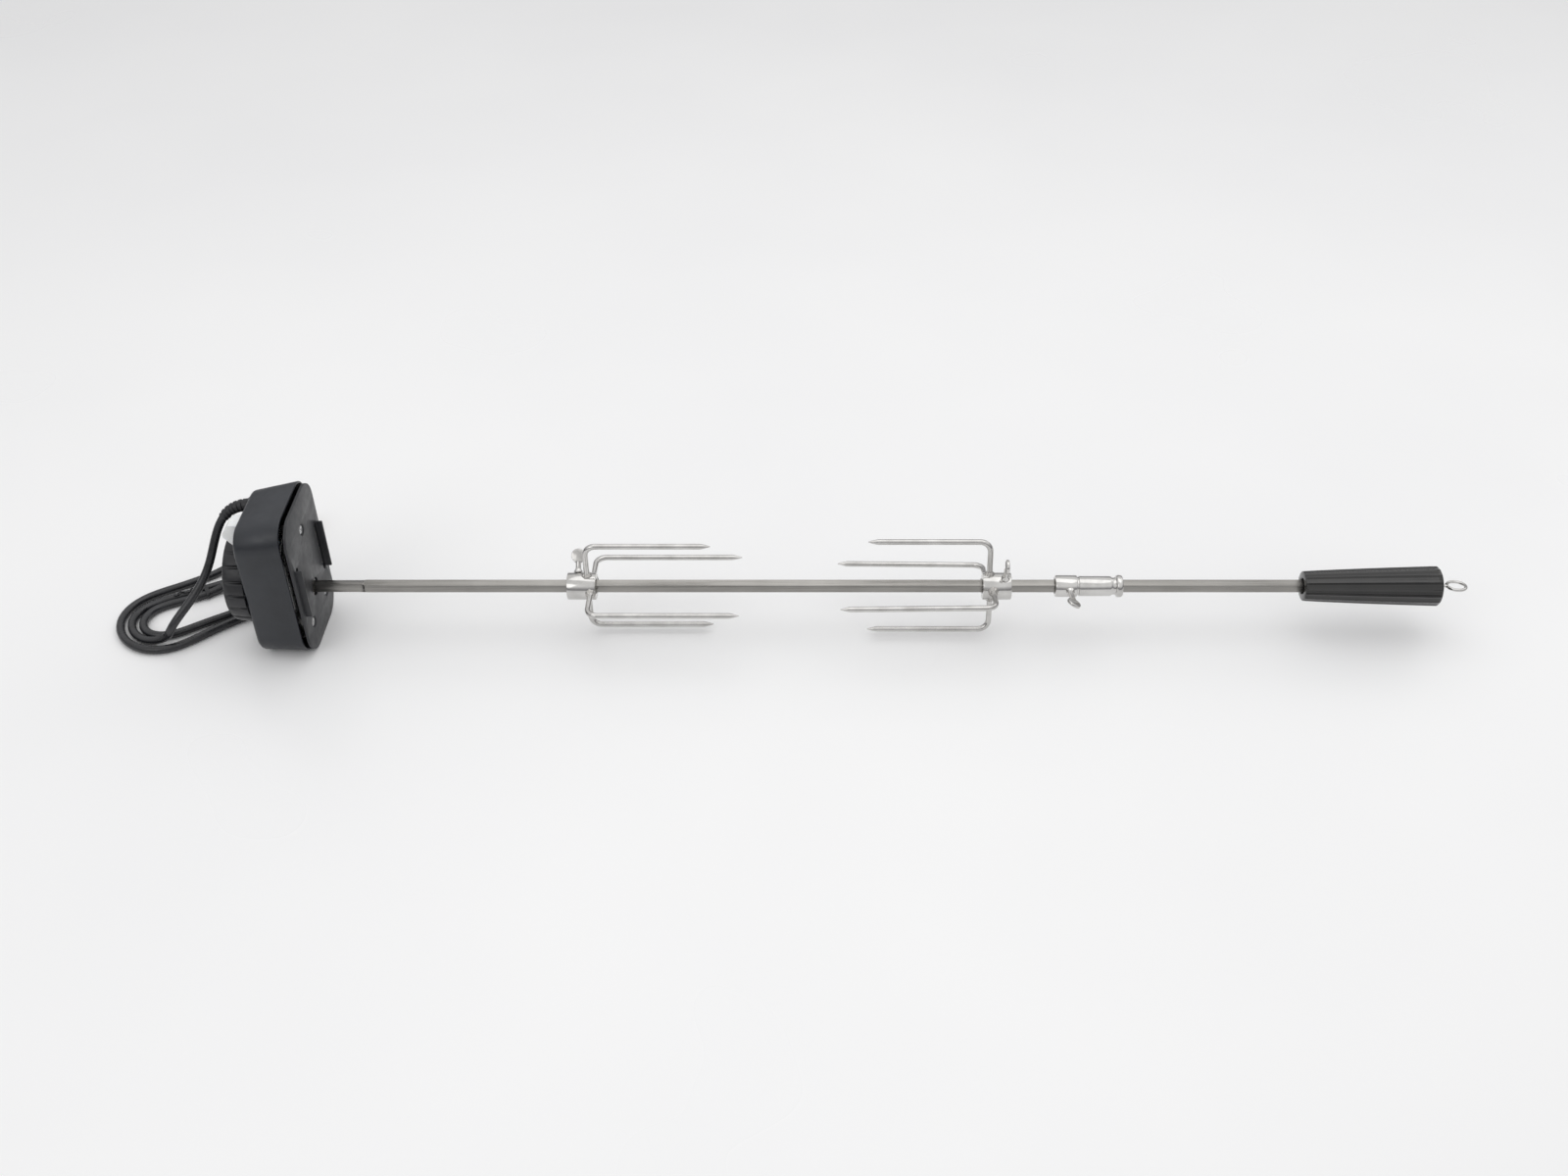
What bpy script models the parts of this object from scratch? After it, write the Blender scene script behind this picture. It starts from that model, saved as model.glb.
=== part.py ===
"""Grill rotisserie spit kit: geared motor with mains cord, hexagonal spit, two four-prong forks,
clamping sleeve, grip handle with hanging eye.

Frame: +X runs along the spit from the motor to the handle, -Y is the front, +Z is up, z = 0 is the
surface the kit stands on. Lengths below are in millimetres. Stations along the spit are counted from
the front face of the mounting plate, heights from the drive axis. Angles about the drive axis are
counted from the front (-Y) upwards.
"""

import math

import bmesh
import bpy
from mathutils import Matrix, Vector

MM = 0.001
X_MID = 423.0  # station that stands over the origin
AXIS_HEIGHT = 44.0  # drive axis above the surface
GAP = 0.3  # clearance between pieces that touch

# Mounting plate
PLATE_THICK = 2.0
PLATE_HALF = 38.4
PLATE_LOW, PLATE_HIGH = -43.4, 80.5
PLATE_R_TOP, PLATE_R_LOW = 18.5, 21.5
PLATE_BORE = 7.3
TAB_OFFSET = 31.4  # inner face of each lanced tab from the centre line
TAB_REACH = 4.7
TAB_LOW, TAB_HIGH = -4.5, 40.0
SLOT_WIDE = 5.0
SCREW_SPOTS = [(0.0, 55.0), (19.8, -20.0), (-19.8, -20.0)]

# Housing shell behind the plate
SHELL_FRONT, SHELL_BACK = -5.2, -41.6
SHELL_WALL = 1.6
SHELL_HALF_FRONT, SHELL_HALF_BACK = 40.2, 37.6
SHELL_TOP_FRONT, SHELL_TOP_BACK = 82.0, 74.0
SHELL_EDGE = 3.0

# Motor and its ribbed cover
MOTOR_UP = 13.0
COVER_R_FRONT, COVER_R_REAR = 38.0, 36.5
COVER_REAR = -58.8
COVER_RIBS = 20

# Gear train: (across, up) of each arbor, module and teeth
GEAR_2_AT, GEAR_1_AT = (18.0, 13.5), (6.93, 25.73)
ROTOR_AT = (0.0, MOTOR_UP)
M_MOTOR, M_MID, M_OUT = 0.5, 0.6, 0.9
TEETH_PINION, TEETH_1, TEETH_2, TEETH_OUT = 10, 48, 45, 40

# Spit
HEX_FLATS = 9.7
FLAT_ANGLE = 11.5  # one flat of the hexagon faces this way at rest
TIP_FLATS = 7.0
TIP_START, TIP_SHOULDER = -27.0, 38.5
HEX_END, STUD_END = 783.0, 806.0
SOCKET_FLATS = 7.6
BORE_R = 6.0  # collars and sleeve over the hexagon

# Forks
COLLAR_R, COLLAR_LONG = 10.75, 22.4
TINE_RADIUS = 38.1
WIRE_R = 2.2
BEND_R = 8.5
TINE_TIP = 7.5

# Handle
HANDLE_LEFT, HANDLE_RIGHT = 775.0, 881.0
HANDLE_R_LEFT, HANDLE_R_RIGHT = 12.5, 16.0
HANDLE_FLUTES = 16

# Cord
CORD_R = 3.3
CORD_REST = CORD_R + 0.15 - AXIS_HEIGHT  # height of a lead lying on the surface

FINISHES = {
    "black_steel": ((0.030, 0.031, 0.035), 0.0, 0.42),
    "satin_black": ((0.022, 0.023, 0.028), 0.0, 0.38),
    "cover_black": ((0.020, 0.021, 0.026), 0.0, 0.45),
    "gloss_black": ((0.008, 0.008, 0.009), 0.0, 0.12),
    "rubber": ((0.012, 0.012, 0.013), 0.0, 0.60),
    "boot": ((0.78, 0.79, 0.78), 0.0, 0.35),
    "stainless": ((0.62, 0.61, 0.59), 1.0, 0.30),
    "chrome": ((0.78, 0.77, 0.75), 1.0, 0.12),
    "zinc": ((0.60, 0.61, 0.62), 1.0, 0.35),
    "brass": ((0.72, 0.50, 0.22), 1.0, 0.30),
    "magnet": ((0.06, 0.06, 0.065), 0.0, 0.50),
    "winding": ((0.55, 0.24, 0.08), 0.6, 0.40),
    "nylon": ((0.74, 0.73, 0.68), 0.0, 0.45),
}


def clear_scene():
    for obj in list(bpy.data.objects):
        bpy.data.objects.remove(obj, do_unlink=True)


def at(station, across=0.0, up=0.0):
    """A point of the frame: station along the spit, across (+Y) and up from the drive axis."""
    return Vector((station - X_MID, across, up + AXIS_HEIGHT)) * MM


def radial(angle):
    """Unit vector square to the spit, at an angle counted from the front upwards."""
    turn = math.radians(angle)
    return Vector((0.0, -math.cos(turn), math.sin(turn)))


def frame_at(origin, along, side=None):
    """Matrix whose local Z is along and whose local X is as near to side as it can be."""
    z = Vector(along).normalized()
    hint = Vector(side) if side is not None else Vector((0.0, 1.0, 0.0))
    x = (hint - z * hint.dot(z)).normalized()
    y = z.cross(x)
    turned = Matrix((x, y, z)).transposed().to_4x4()
    return Matrix.Translation(origin) @ turned


def put(obj, finish=None):
    """Links a piece to the assembly and gives it its own material, or a helper to the cutters."""
    if finish is None:
        CUTTERS.objects.link(obj)
        obj.hide_render = True
        obj.display_type = "WIRE"
        return obj
    ASSEMBLY.objects.link(obj)
    color, metallic, rough = FINISHES[finish]
    coat = bpy.data.materials.new(obj.name + "_" + finish)
    coat.use_nodes = True
    shader = coat.node_tree.nodes["Principled BSDF"]
    shader.inputs["Base Color"].default_value = (*color, 1.0)
    shader.inputs["Metallic"].default_value = metallic
    shader.inputs["Roughness"].default_value = rough
    obj.data.materials.append(coat)
    return obj


def finish_mesh(name, bm, finish, matrix=None, smooth=True):
    bmesh.ops.recalc_face_normals(bm, faces=bm.faces)
    mesh = bpy.data.meshes.new(name)
    bm.to_mesh(mesh)
    bm.free()
    if matrix is not None:
        mesh.transform(matrix)
    if smooth:
        mesh.shade_smooth()
        mesh.set_sharp_from_angle(angle=math.radians(32))
    return put(bpy.data.objects.new(name, mesh), finish)


def on_axis(obj, point):
    """Moves a piece's origin to a point of its joint axis and leaves its shape where it is."""
    obj.data.transform(Matrix.Translation(-point))
    obj.location = point
    return obj


def lathe(name, profile, finish, origin, along=(1, 0, 0), hollow=False, steps=32, side=None):
    """Turned piece: a profile of (radius, distance along the axis), spun a full turn."""
    bm = bmesh.new()
    verts = [bm.verts.new((r * MM, 0.0, d * MM)) for r, d in profile]
    pairs = list(zip(verts, verts[1:]))
    if hollow:
        pairs.append((verts[-1], verts[0]))
    edges = [bm.edges.new(pair) for pair in pairs]
    bmesh.ops.spin(
        bm, geom=verts + edges, cent=(0, 0, 0), axis=(0, 0, 1), dvec=(0, 0, 0),
        angle=2 * math.pi, steps=steps, use_merge=True, use_duplicate=False,
    )
    bmesh.ops.remove_doubles(bm, verts=bm.verts, dist=1e-6)
    return finish_mesh(name, bm, finish, frame_at(origin, along, side))


def box(name, size, finish, origin, along=(1, 0, 0), side=None, bevel=0.0):
    """Block: size along local X, Y, Z, centred on its origin, edges rounded by bevel."""
    bm = bmesh.new()
    bmesh.ops.create_cube(bm, size=1.0, matrix=Matrix.Diagonal((*(v * MM for v in size), 1.0)))
    if bevel:
        bmesh.ops.bevel(
            bm, geom=bm.edges[:], offset=bevel * MM, segments=2, profile=0.5, affect="EDGES",
            clamp_overlap=True,
        )
    return finish_mesh(name, bm, finish, frame_at(origin, along, side))


def prism(name, outlines, depth, finish, origin, along=(1, 0, 0), side=None, bevel=0.0):
    """Flat outline with its holes, extruded along an axis from its origin."""
    curve = bpy.data.curves.new(name + "_outline", "CURVE")
    curve.dimensions = "2D"
    curve.fill_mode = "BOTH"
    curve.extrude = depth / 2 * MM
    for outline in outlines:
        spline = curve.splines.new("POLY")
        spline.points.add(len(outline) - 1)
        for point, (x, y) in zip(spline.points, outline):
            point.co = (x * MM, y * MM, 0.0, 1.0)
        spline.use_cyclic_u = True
    guide = bpy.data.objects.new(name + "_outline", curve)
    CUTTERS.objects.link(guide)
    bpy.context.view_layer.update()
    graph = bpy.context.evaluated_depsgraph_get()
    mesh = bpy.data.meshes.new_from_object(guide.evaluated_get(graph))
    bpy.data.objects.remove(guide, do_unlink=True)
    bm = bmesh.new()
    bm.from_mesh(mesh)
    bpy.data.meshes.remove(mesh)
    bmesh.ops.remove_doubles(bm, verts=bm.verts, dist=1e-6)
    bmesh.ops.translate(bm, verts=bm.verts, vec=(0, 0, depth / 2 * MM))
    if bevel:
        ends = [
            edge for edge in bm.edges
            if edge.calc_face_angle(0) > 1.2 and abs(edge.verts[0].co.z - edge.verts[1].co.z) < 1e-7
        ]
        bmesh.ops.bevel(bm, geom=ends, offset=bevel * MM, segments=2, profile=0.5, affect="EDGES")
    return finish_mesh(name, bm, finish, frame_at(origin, along, side))


def loft(name, loops, finish, ring=False):
    """Skin through loops of equal point count, capped at both ends or closed into a ring."""
    bm = bmesh.new()
    rows = [[bm.verts.new(point) for point in loop] for loop in loops]
    pairs = list(zip(rows, rows[1:]))
    if ring:
        pairs.append((rows[-1], rows[0]))
    for near, far in pairs:
        for i in range(len(near)):
            j = (i + 1) % len(near)
            bm.faces.new((near[i], near[j], far[j], far[i]))
    if not ring:
        bm.faces.new(list(reversed(rows[0])))
        bm.faces.new(rows[-1])
    return finish_mesh(name, bm, finish)


def wire(name, points, radius, finish, resolution=3, radii=None):
    """Round wire through points, with filled ends and an optional radius at each point."""
    curve = bpy.data.curves.new(name, "CURVE")
    curve.dimensions = "3D"
    curve.bevel_depth = radius * MM
    curve.bevel_resolution = resolution
    curve.use_fill_caps = True
    spline = curve.splines.new("POLY")
    spline.points.add(len(points) - 1)
    for i, point in enumerate(points):
        spline.points[i].co = (*point, 1.0)
        spline.points[i].radius = radii[i] if radii else 1.0
    return put(bpy.data.objects.new(name, curve), finish)


def combine(obj, tool, operation="DIFFERENCE"):
    step = obj.modifiers.new(tool.name, "BOOLEAN")
    step.solver = "EXACT"
    step.operation = operation
    step.object = tool
    return obj


def circle(across, up, radius, count=32):
    turns = [2 * math.pi * i / count for i in range(count)]
    return [(across + radius * math.cos(t), up + radius * math.sin(t)) for t in turns]


def rounded(half, low, high, r_low, r_high, count=8):
    """Outline of an upright plate, symmetric about the centre line, with round corners."""
    corners = [
        (half - r_high, high - r_high, r_high, 0),
        (-half + r_high, high - r_high, r_high, 90),
        (-half + r_low, low + r_low, r_low, 180),
        (half - r_low, low + r_low, r_low, 270),
    ]
    outline = []
    for across, up, r, start in corners:
        for i in range(count + 1):
            turn = math.radians(start + 90 * i / count)
            outline.append((across + r * math.cos(turn), up + r * math.sin(turn)))
    return outline


def slot(across, low, high, wide, count=8):
    """Outline of an upright slot with round ends."""
    r = wide / 2
    outline = []
    for up, start in ((high - r, 0), (low + r, 180)):
        for i in range(count + 1):
            turn = math.radians(start + 180 * i / count)
            outline.append((across + r * math.cos(turn), up + r * math.sin(turn)))
    return outline


def gear_outline(across, up, module, teeth, phase):
    """Straight-sided teeth with plenty of backlash; one tooth points along phase."""
    pitch = module * teeth / 2
    tip, root = pitch + 0.85 * module, pitch - 1.2 * module
    step = 2 * math.pi / teeth
    outline = []
    for i in range(teeth):
        middle = math.radians(phase) + i * step
        for r, part in ((root, -0.27), (tip, -0.10), (tip, 0.10), (root, 0.27)):
            turn = middle + part * step
            outline.append((across + r * math.cos(turn), up + r * math.sin(turn)))
    return outline


def towards(start, end):
    return math.degrees(math.atan2(end[1] - start[1], end[0] - start[0]))


clear_scene()
ASSEMBLY = bpy.data.collections.new("rotisserie_spit_kit")
CUTTERS = bpy.data.collections.new("cutters")
bpy.context.scene.collection.children.link(ASSEMBLY)
bpy.context.scene.collection.children.link(CUTTERS)

# ---------------------------------------------------------------- mounting plate
plate = prism(
    "mounting_plate",
    [
        rounded(PLATE_HALF, PLATE_LOW, PLATE_HIGH, PLATE_R_LOW, PLATE_R_TOP, 10),
        circle(0, 0, PLATE_BORE),
        slot(TAB_OFFSET - 0.2 - SLOT_WIDE / 2, TAB_LOW, TAB_HIGH, SLOT_WIDE),
        slot(-TAB_OFFSET + 0.2 + SLOT_WIDE / 2, TAB_LOW, TAB_HIGH, SLOT_WIDE),
    ],
    PLATE_THICK, "black_steel", at(-PLATE_THICK),
)
for index, (across, up) in enumerate(SCREW_SPOTS):
    sink = lathe(
        f"plate_sink_{index + 1}", [(0, 1.0), (6.3, 1.0), (2.45, -2.5), (0, -2.5)],
        None, at(0, across, up), steps=24,
    )
    combine(plate, sink)
for sign, place in ((1, "rear"), (-1, "front")):
    tab = box(
        f"plate_tab_{place}", (PLATE_THICK, TAB_HIGH - TAB_LOW - 1.0, TAB_REACH + 1.5), None,
        at((TAB_REACH - 1.5) / 2, sign * (TAB_OFFSET + PLATE_THICK / 2), (TAB_HIGH + TAB_LOW) / 2),
        bevel=0.6,
    )
    combine(plate, tab, "UNION")

for index, (across, up) in enumerate(SCREW_SPOTS):
    lathe(
        f"plate_screw_{index + 1}",
        [(0, -0.9), (3.0, -0.9), (3.4, -1.2), (1.8, -2.6), (1.8, -15.0), (0, -15.0)],
        "zinc", at(0, across, up), steps=20,
    )
    lathe(
        f"plate_spacer_{index + 1}",
        [(3.9, -2.3), (3.9, -7.7), (2.5, -7.7), (2.5, -2.3)],
        "zinc", at(0, across, up), hollow=True, steps=20,
    )

# ---------------------------------------------------------------- housing shell


def shell_loop(station, inset):
    """Outline of the shell at a station, moved inwards by inset."""
    share = (SHELL_FRONT - station) / (SHELL_FRONT - SHELL_BACK)
    half = SHELL_HALF_FRONT + (SHELL_HALF_BACK - SHELL_HALF_FRONT) * share - inset
    high = SHELL_TOP_FRONT + (SHELL_TOP_BACK - SHELL_TOP_FRONT) * share - inset
    r_high = 19.5 - inset - 1.5 * share
    r_low = 22.5 - inset - 1.5 * share
    outline = rounded(half, -AXIS_HEIGHT + inset, high, r_low, r_high, 8)
    loop = []
    for i, (across, up) in enumerate(outline):
        loop.append(at(station, across, up))
        if i % 9 == 8:  # end of a corner: points along the straight that follows it
            far = at(station, *outline[(i + 1) % len(outline)])
            loop += [loop[-1].lerp(far, k / 8) for k in range(1, 8)]
    return loop


def opening_loop(station, radius):
    """Round opening for the motor, its points facing those of the shell outline."""
    loop = []
    for point in shell_loop(SHELL_BACK, SHELL_EDGE):
        across, up = point.y / MM, point.z / MM - AXIS_HEIGHT - MOTOR_UP
        length = math.hypot(across, up)
        loop.append(at(station, radius * across / length, MOTOR_UP + radius * up / length))
    return loop


edge = []
for t in (0, 30, 60, 90):
    turn = math.radians(t)
    edge.append((SHELL_BACK + SHELL_EDGE * (1 - math.sin(turn)), SHELL_EDGE * (1 - math.cos(turn))))
shell = loft(
    "housing_shell",
    [shell_loop(SHELL_FRONT, 1.0), shell_loop(SHELL_FRONT - 0.25, 0.3), shell_loop(SHELL_FRONT - 0.9, 0.0)]
    + [shell_loop(station, inset) for station, inset in edge]
    + [
        opening_loop(SHELL_BACK, 33.0),
        opening_loop(SHELL_BACK + SHELL_WALL, 33.0),
        shell_loop(SHELL_BACK + SHELL_WALL, SHELL_EDGE),
        shell_loop(SHELL_BACK + SHELL_EDGE, SHELL_WALL),
        shell_loop(SHELL_FRONT, SHELL_WALL),
    ],
    "satin_black", ring=True,
)
SWITCH_ACROSS, SWITCH_UP = -9.5, 61.1
GLAND_ACROSS, GLAND_UP = 23.0, 62.0
combine(shell, box(
    "switch_opening", (13.4, 17.4, 12.0), None, at(SHELL_BACK, SWITCH_ACROSS, SWITCH_UP),
))
combine(shell, lathe(
    "gland_opening", [(0, 6), (5.3, 6), (5.3, -6), (0, -6)], None,
    at(SHELL_BACK, GLAND_ACROSS, GLAND_UP), steps=24,
))
SHELL_SCREWS = [(27.0, -26.0), (-27.0, -26.0)]
for index, (across, up) in enumerate(SHELL_SCREWS):
    combine(shell, lathe(
        f"shell_hole_{index + 1}", [(0, 4), (2.2, 4), (2.2, -4), (0, -4)], None,
        at(SHELL_BACK, across, up), steps=16,
    ))
    lathe(
        f"shell_screw_{index + 1}",
        [(0, 8.0), (1.7, 8.0), (1.7, -0.3), (3.4, -0.3), (3.4, -1.2), (2.4, -2.2), (0, -2.4)],
        "zinc", at(SHELL_BACK, across, up), steps=20,
    )

# ---------------------------------------------------------------- ribbed motor cover


def cover_loop(station, radius, groove):
    """Round outline with evenly spaced lengthwise grooves of a given depth."""
    loop = []
    pitch = 360.0 / COVER_RIBS
    for rib in range(COVER_RIBS):
        middle = 8.5 + rib * pitch
        for offset, depth in ((-2.3, 0.0), (-1.1, 1.0), (1.1, 1.0), (2.3, 0.0), (6.6, 0.0), (11.4, 0.0)):
            turn = math.radians(middle + offset)
            r = radius - groove * depth
            loop.append(at(station, -r * math.cos(turn), MOTOR_UP + r * math.sin(turn)))
    return loop


loft(
    "motor_cover",
    [
        cover_loop(-41.9, COVER_R_FRONT, 2.6),
        cover_loop(-47.0, COVER_R_FRONT - 0.3, 2.2),
        cover_loop(-53.5, COVER_R_REAR + 0.4, 0.9),
        cover_loop(-56.6, COVER_R_REAR - 0.3, 0.25),
        cover_loop(-58.1, COVER_R_REAR - 1.7, 0.0),
        cover_loop(COVER_REAR, COVER_R_REAR - 4.2, 0.0),
        cover_loop(COVER_REAR, 4.0, 0.0),
        cover_loop(COVER_REAR + 1.6, 4.0, 0.0),
        cover_loop(COVER_REAR + 1.6, 32.0, 0.0),
        cover_loop(-55.6, 33.6, 0.0),
        cover_loop(-41.9, 33.9, 0.0),
    ],
    "cover_black", ring=True,
)

# ---------------------------------------------------------------- gearbox frames and pillars
FRAME_FRONT, FRAME_REAR, FRAME_THICK = -9.5, -31.5, 1.5
frame_edge = rounded(32.0, -32.0, 61.0, 11.0, 10.0, 6)
arbor_holes = [circle(*GEAR_1_AT, 1.85, 16), circle(*GEAR_2_AT, 1.85, 16)]
pillar_holes = [circle(across, up, 2.2, 16) for across, up in SCREW_SPOTS]
prism(
    "gearbox_front_frame", [frame_edge, circle(0, 0, 8.9)] + arbor_holes + pillar_holes,
    FRAME_THICK, "zinc", at(FRAME_FRONT),
)
prism(
    "gearbox_rear_frame",
    [frame_edge, circle(0, 0, 6.9), circle(*ROTOR_AT, 5.0, 24)] + arbor_holes
    + [circle(across, up, 2.1, 16) for across, up in SHELL_SCREWS],
    FRAME_THICK, "zinc", at(FRAME_REAR),
)
for index, (across, up) in enumerate(SCREW_SPOTS):
    front, rear = FRAME_FRONT - GAP, FRAME_REAR + FRAME_THICK + GAP
    lathe(
        f"gearbox_pillar_{index + 1}",
        [(0, -17.0), (2.15, -16.0), (2.15, front), (3.5, front), (3.5, rear), (0, rear)],
        "zinc", at(0, across, up), steps=20,
    )
for index, (across, up) in enumerate(SHELL_SCREWS):
    front, rear = FRAME_REAR - GAP, SHELL_BACK + SHELL_WALL + GAP
    lathe(
        f"shell_post_{index + 1}",
        [(3.4, front), (3.4, rear), (2.1, rear), (2.1, front)],
        "zinc", at(0, across, up), hollow=True, steps=20,
    )
lathe(
    "output_bushing",
    [(8.5, -3.2), (8.5, -12.0), (6.5, -12.0), (6.5, -3.2), (6.9, -2.6), (8.1, -2.6)],
    "brass", at(0), hollow=True, steps=32,
)
for index, spot in enumerate((GEAR_1_AT, GEAR_2_AT)):
    lathe(
        f"gear_arbor_{index + 1}",
        [(0, FRAME_FRONT + 2.3), (1.3, FRAME_FRONT + 2.3), (1.5, FRAME_FRONT + 2.0), (1.5, FRAME_REAR + 0.1),
         (0, FRAME_REAR + 0.1)],
        "stainless", at(0, *spot), steps=16,
    )

# ---------------------------------------------------------------- motor
lathe(
    "stator_cup",
    [(24.5, -31.8), (24.5, -52.0), (23.3, -52.0), (23.3, -33.0), (4.0, -33.0), (4.0, -31.8)],
    "zinc", at(0, *ROTOR_AT), hollow=True, steps=36,
)
lathe(
    "stator_end_plate",
    [(24.5, -52.3), (24.5, -53.6), (1.8, -53.6), (1.8, -52.3)],
    "zinc", at(0, *ROTOR_AT), hollow=True, steps=36,
)
lathe(
    "stator_coil",
    [(22.6, -34.4), (22.6, -50.8), (12.4, -50.8), (12.4, -34.4)],
    "winding", at(0, *ROTOR_AT), hollow=True, steps=32,
)
lathe(
    "rotor_magnet",
    [(10.6, -35.4), (11.0, -35.8), (11.0, -48.8), (10.6, -49.2), (1.5, -49.2), (1.5, -35.4)],
    "magnet", at(0, *ROTOR_AT), hollow=True, steps=28,
)
phase_out = towards((0, 0), GEAR_2_AT)
phase_2 = towards(GEAR_2_AT, GEAR_1_AT)
phase_1 = towards(GEAR_1_AT, ROTOR_AT)
half_pinion = 180.0 / TEETH_PINION
rotor_shaft = lathe(
    "rotor_shaft", [(0, -27.5), (1.15, -27.5), (1.15, -53.4), (0, -53.4)],
    "stainless", at(0, *ROTOR_AT), steps=16,
)
combine(rotor_shaft, prism(
    "rotor_pinion_shape", [gear_outline(*ROTOR_AT, M_MOTOR, TEETH_PINION, phase_1 + 180 + half_pinion)],
    4.2, None, at(-30.7),
), "UNION")

# ---------------------------------------------------------------- gear train
gear_1 = prism(
    "reduction_gear_1", [gear_outline(*GEAR_1_AT, M_MOTOR, TEETH_1, phase_1), circle(*GEAR_1_AT, 1.85, 16)],
    2.5, "nylon", at(-29.5),
)
combine(gear_1, prism(
    "gear_1_pinion_shape",
    [
        gear_outline(*GEAR_1_AT, M_MID, TEETH_PINION, phase_2 + 180 + half_pinion),
        circle(*GEAR_1_AT, 1.85, 16),
    ],
    6.6, None, at(-28.2),
), "UNION")
gear_2 = prism(
    "reduction_gear_2", [gear_outline(*GEAR_2_AT, M_MID, TEETH_2, phase_2), circle(*GEAR_2_AT, 1.85, 16)],
    3.0, "nylon", at(-25.5),
)
combine(gear_2, prism(
    "gear_2_pinion_shape",
    [
        gear_outline(*GEAR_2_AT, M_OUT, TEETH_PINION, phase_out + 180 + half_pinion),
        circle(*GEAR_2_AT, 1.85, 16),
    ],
    10.0, None, at(-24.0),
), "UNION")
output_gear = prism(
    "output_gear", [gear_outline(0, 0, M_OUT, TEETH_OUT, phase_out), circle(0, 0, 6.5)],
    5.0, "nylon", at(-20.0),
)
output_shaft = lathe(
    "output_shaft",
    [(0, -3.4), (5.8, -3.4), (6.2, -3.8), (6.2, -31.0), (5.8, -31.4), (0, -31.4)],
    "stainless", at(0), steps=32,
)
flat_up = radial(FLAT_ANGLE)
combine(output_shaft, box(
    "drive_socket", (SOCKET_FLATS, SOCKET_FLATS, 27.0), None, at(-16.0), side=flat_up,
))
for piece, spot in (
    (gear_1, GEAR_1_AT), (gear_2, GEAR_2_AT), (rotor_shaft, ROTOR_AT),
    (output_gear, (0, 0)), (output_shaft, (0, 0)),
):
    on_axis(piece, at(-20.0, *spot))

# ---------------------------------------------------------------- switch, boot and gland
box(
    "switch_body", (12.8, 16.8, 9.4), "gloss_black",
    at(SHELL_BACK + 4.2, SWITCH_ACROSS, SWITCH_UP), bevel=0.5,
)
ROCKER_PIVOT = SHELL_BACK - 3.4
tilt = math.radians(8)
rocker = prism(
    "switch_rocker", [[(-5.8, -1.1), (5.8, -1.1), (6.4, 2.6), (0.0, 1.3), (-6.4, 2.6)]],
    10.6, "gloss_black", at(ROCKER_PIVOT, SWITCH_ACROSS + 5.3, SWITCH_UP),
    along=(0, -1, 0), side=(math.sin(tilt), 0, math.cos(tilt)),
)
on_axis(rocker, at(ROCKER_PIVOT, SWITCH_ACROSS, SWITCH_UP))
BOOT_HALF, BOOT_WIDE, BOOT_WALL = 9.8, 15.0, 0.9
boot = prism(
    "switch_boot",
    [[(-BOOT_HALF, GAP), (BOOT_HALF, GAP), (BOOT_HALF, 7.4), (1.0, 13.4), (-1.0, 13.4), (-BOOT_HALF, 6.2)]],
    BOOT_WIDE, "boot", at(SHELL_BACK, SWITCH_ACROSS + BOOT_WIDE / 2, SWITCH_UP),
    along=(0, -1, 0), side=(0, 0, 1), bevel=0.9,
)
inner = BOOT_HALF - BOOT_WALL
combine(boot, prism(
    "boot_hollow",
    [[(-inner, -1.0), (inner, -1.0), (inner, 6.7), (0.6, 12.4), (-0.6, 12.4), (-inner, 5.5)]],
    BOOT_WIDE - 2 * BOOT_WALL, None,
    at(SHELL_BACK, SWITCH_ACROSS + BOOT_WIDE / 2 - BOOT_WALL, SWITCH_UP), along=(0, -1, 0), side=(0, 0, 1),
))
lathe(
    "cord_gland",
    [(3.65, 9.0), (4.2, 9.0), (4.6, 8.4), (5.0, 2.4), (6.4, 2.1), (6.4, 0.3), (5.0, 0.3), (5.0, -2.0),
     (5.5, -2.6), (5.0, -4.5), (3.65, -4.5)],
    "rubber", at(SHELL_BACK, GLAND_ACROSS, GLAND_UP), along=(-1, 0, 0), hollow=True, steps=24,
)

# ---------------------------------------------------------------- spit
hexagon = [
    (HEX_FLATS / math.sqrt(3) * math.cos(math.radians(30 + 60 * k)),
     HEX_FLATS / math.sqrt(3) * math.sin(math.radians(30 + 60 * k)))
    for k in range(6)
]
spit = prism("spit_rod", [hexagon], HEX_END - TIP_START, "stainless", at(TIP_START), side=flat_up)
RUN_OUT = TIP_SHOULDER - 2.5
half = TIP_FLATS / 2
mill = [(TIP_START - 2.0, half)]
for t in range(0, 61, 12):
    bow = math.radians(t)
    mill.append((RUN_OUT + 6 * math.sin(bow), half + 6 * (1 - math.cos(bow))))
mill += [(RUN_OUT + 5.4, 9.0), (TIP_START - 2.0, 9.0)]
for index in range(4):
    outward = radial(FLAT_ANGLE + 90 * index)
    sideways = Vector((1.0, 0.0, 0.0)).cross(outward)
    combine(spit, prism(
        f"tip_mill_{index + 1}", [mill], 16.0, None,
        at(0) - sideways * 8 * MM, along=sideways, side=(1, 0, 0),
    ))
combine(spit, lathe(
    "tip_point",
    [(0, TIP_START - 1), (3.0, TIP_START - 1), (3.0, TIP_START), (9.0, TIP_START + 9), (9.0, HEX_END + 5),
     (0, HEX_END + 5)],
    None, at(0), steps=24,
), "INTERSECT")
combine(spit, lathe(
    "spit_stud",
    [(0, HEX_END - 4), (3.0, HEX_END - 4), (3.0, STUD_END - 1), (2.2, STUD_END), (0, STUD_END)],
    None, at(0), steps=20,
), "UNION")
on_axis(spit, at(0))


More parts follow.
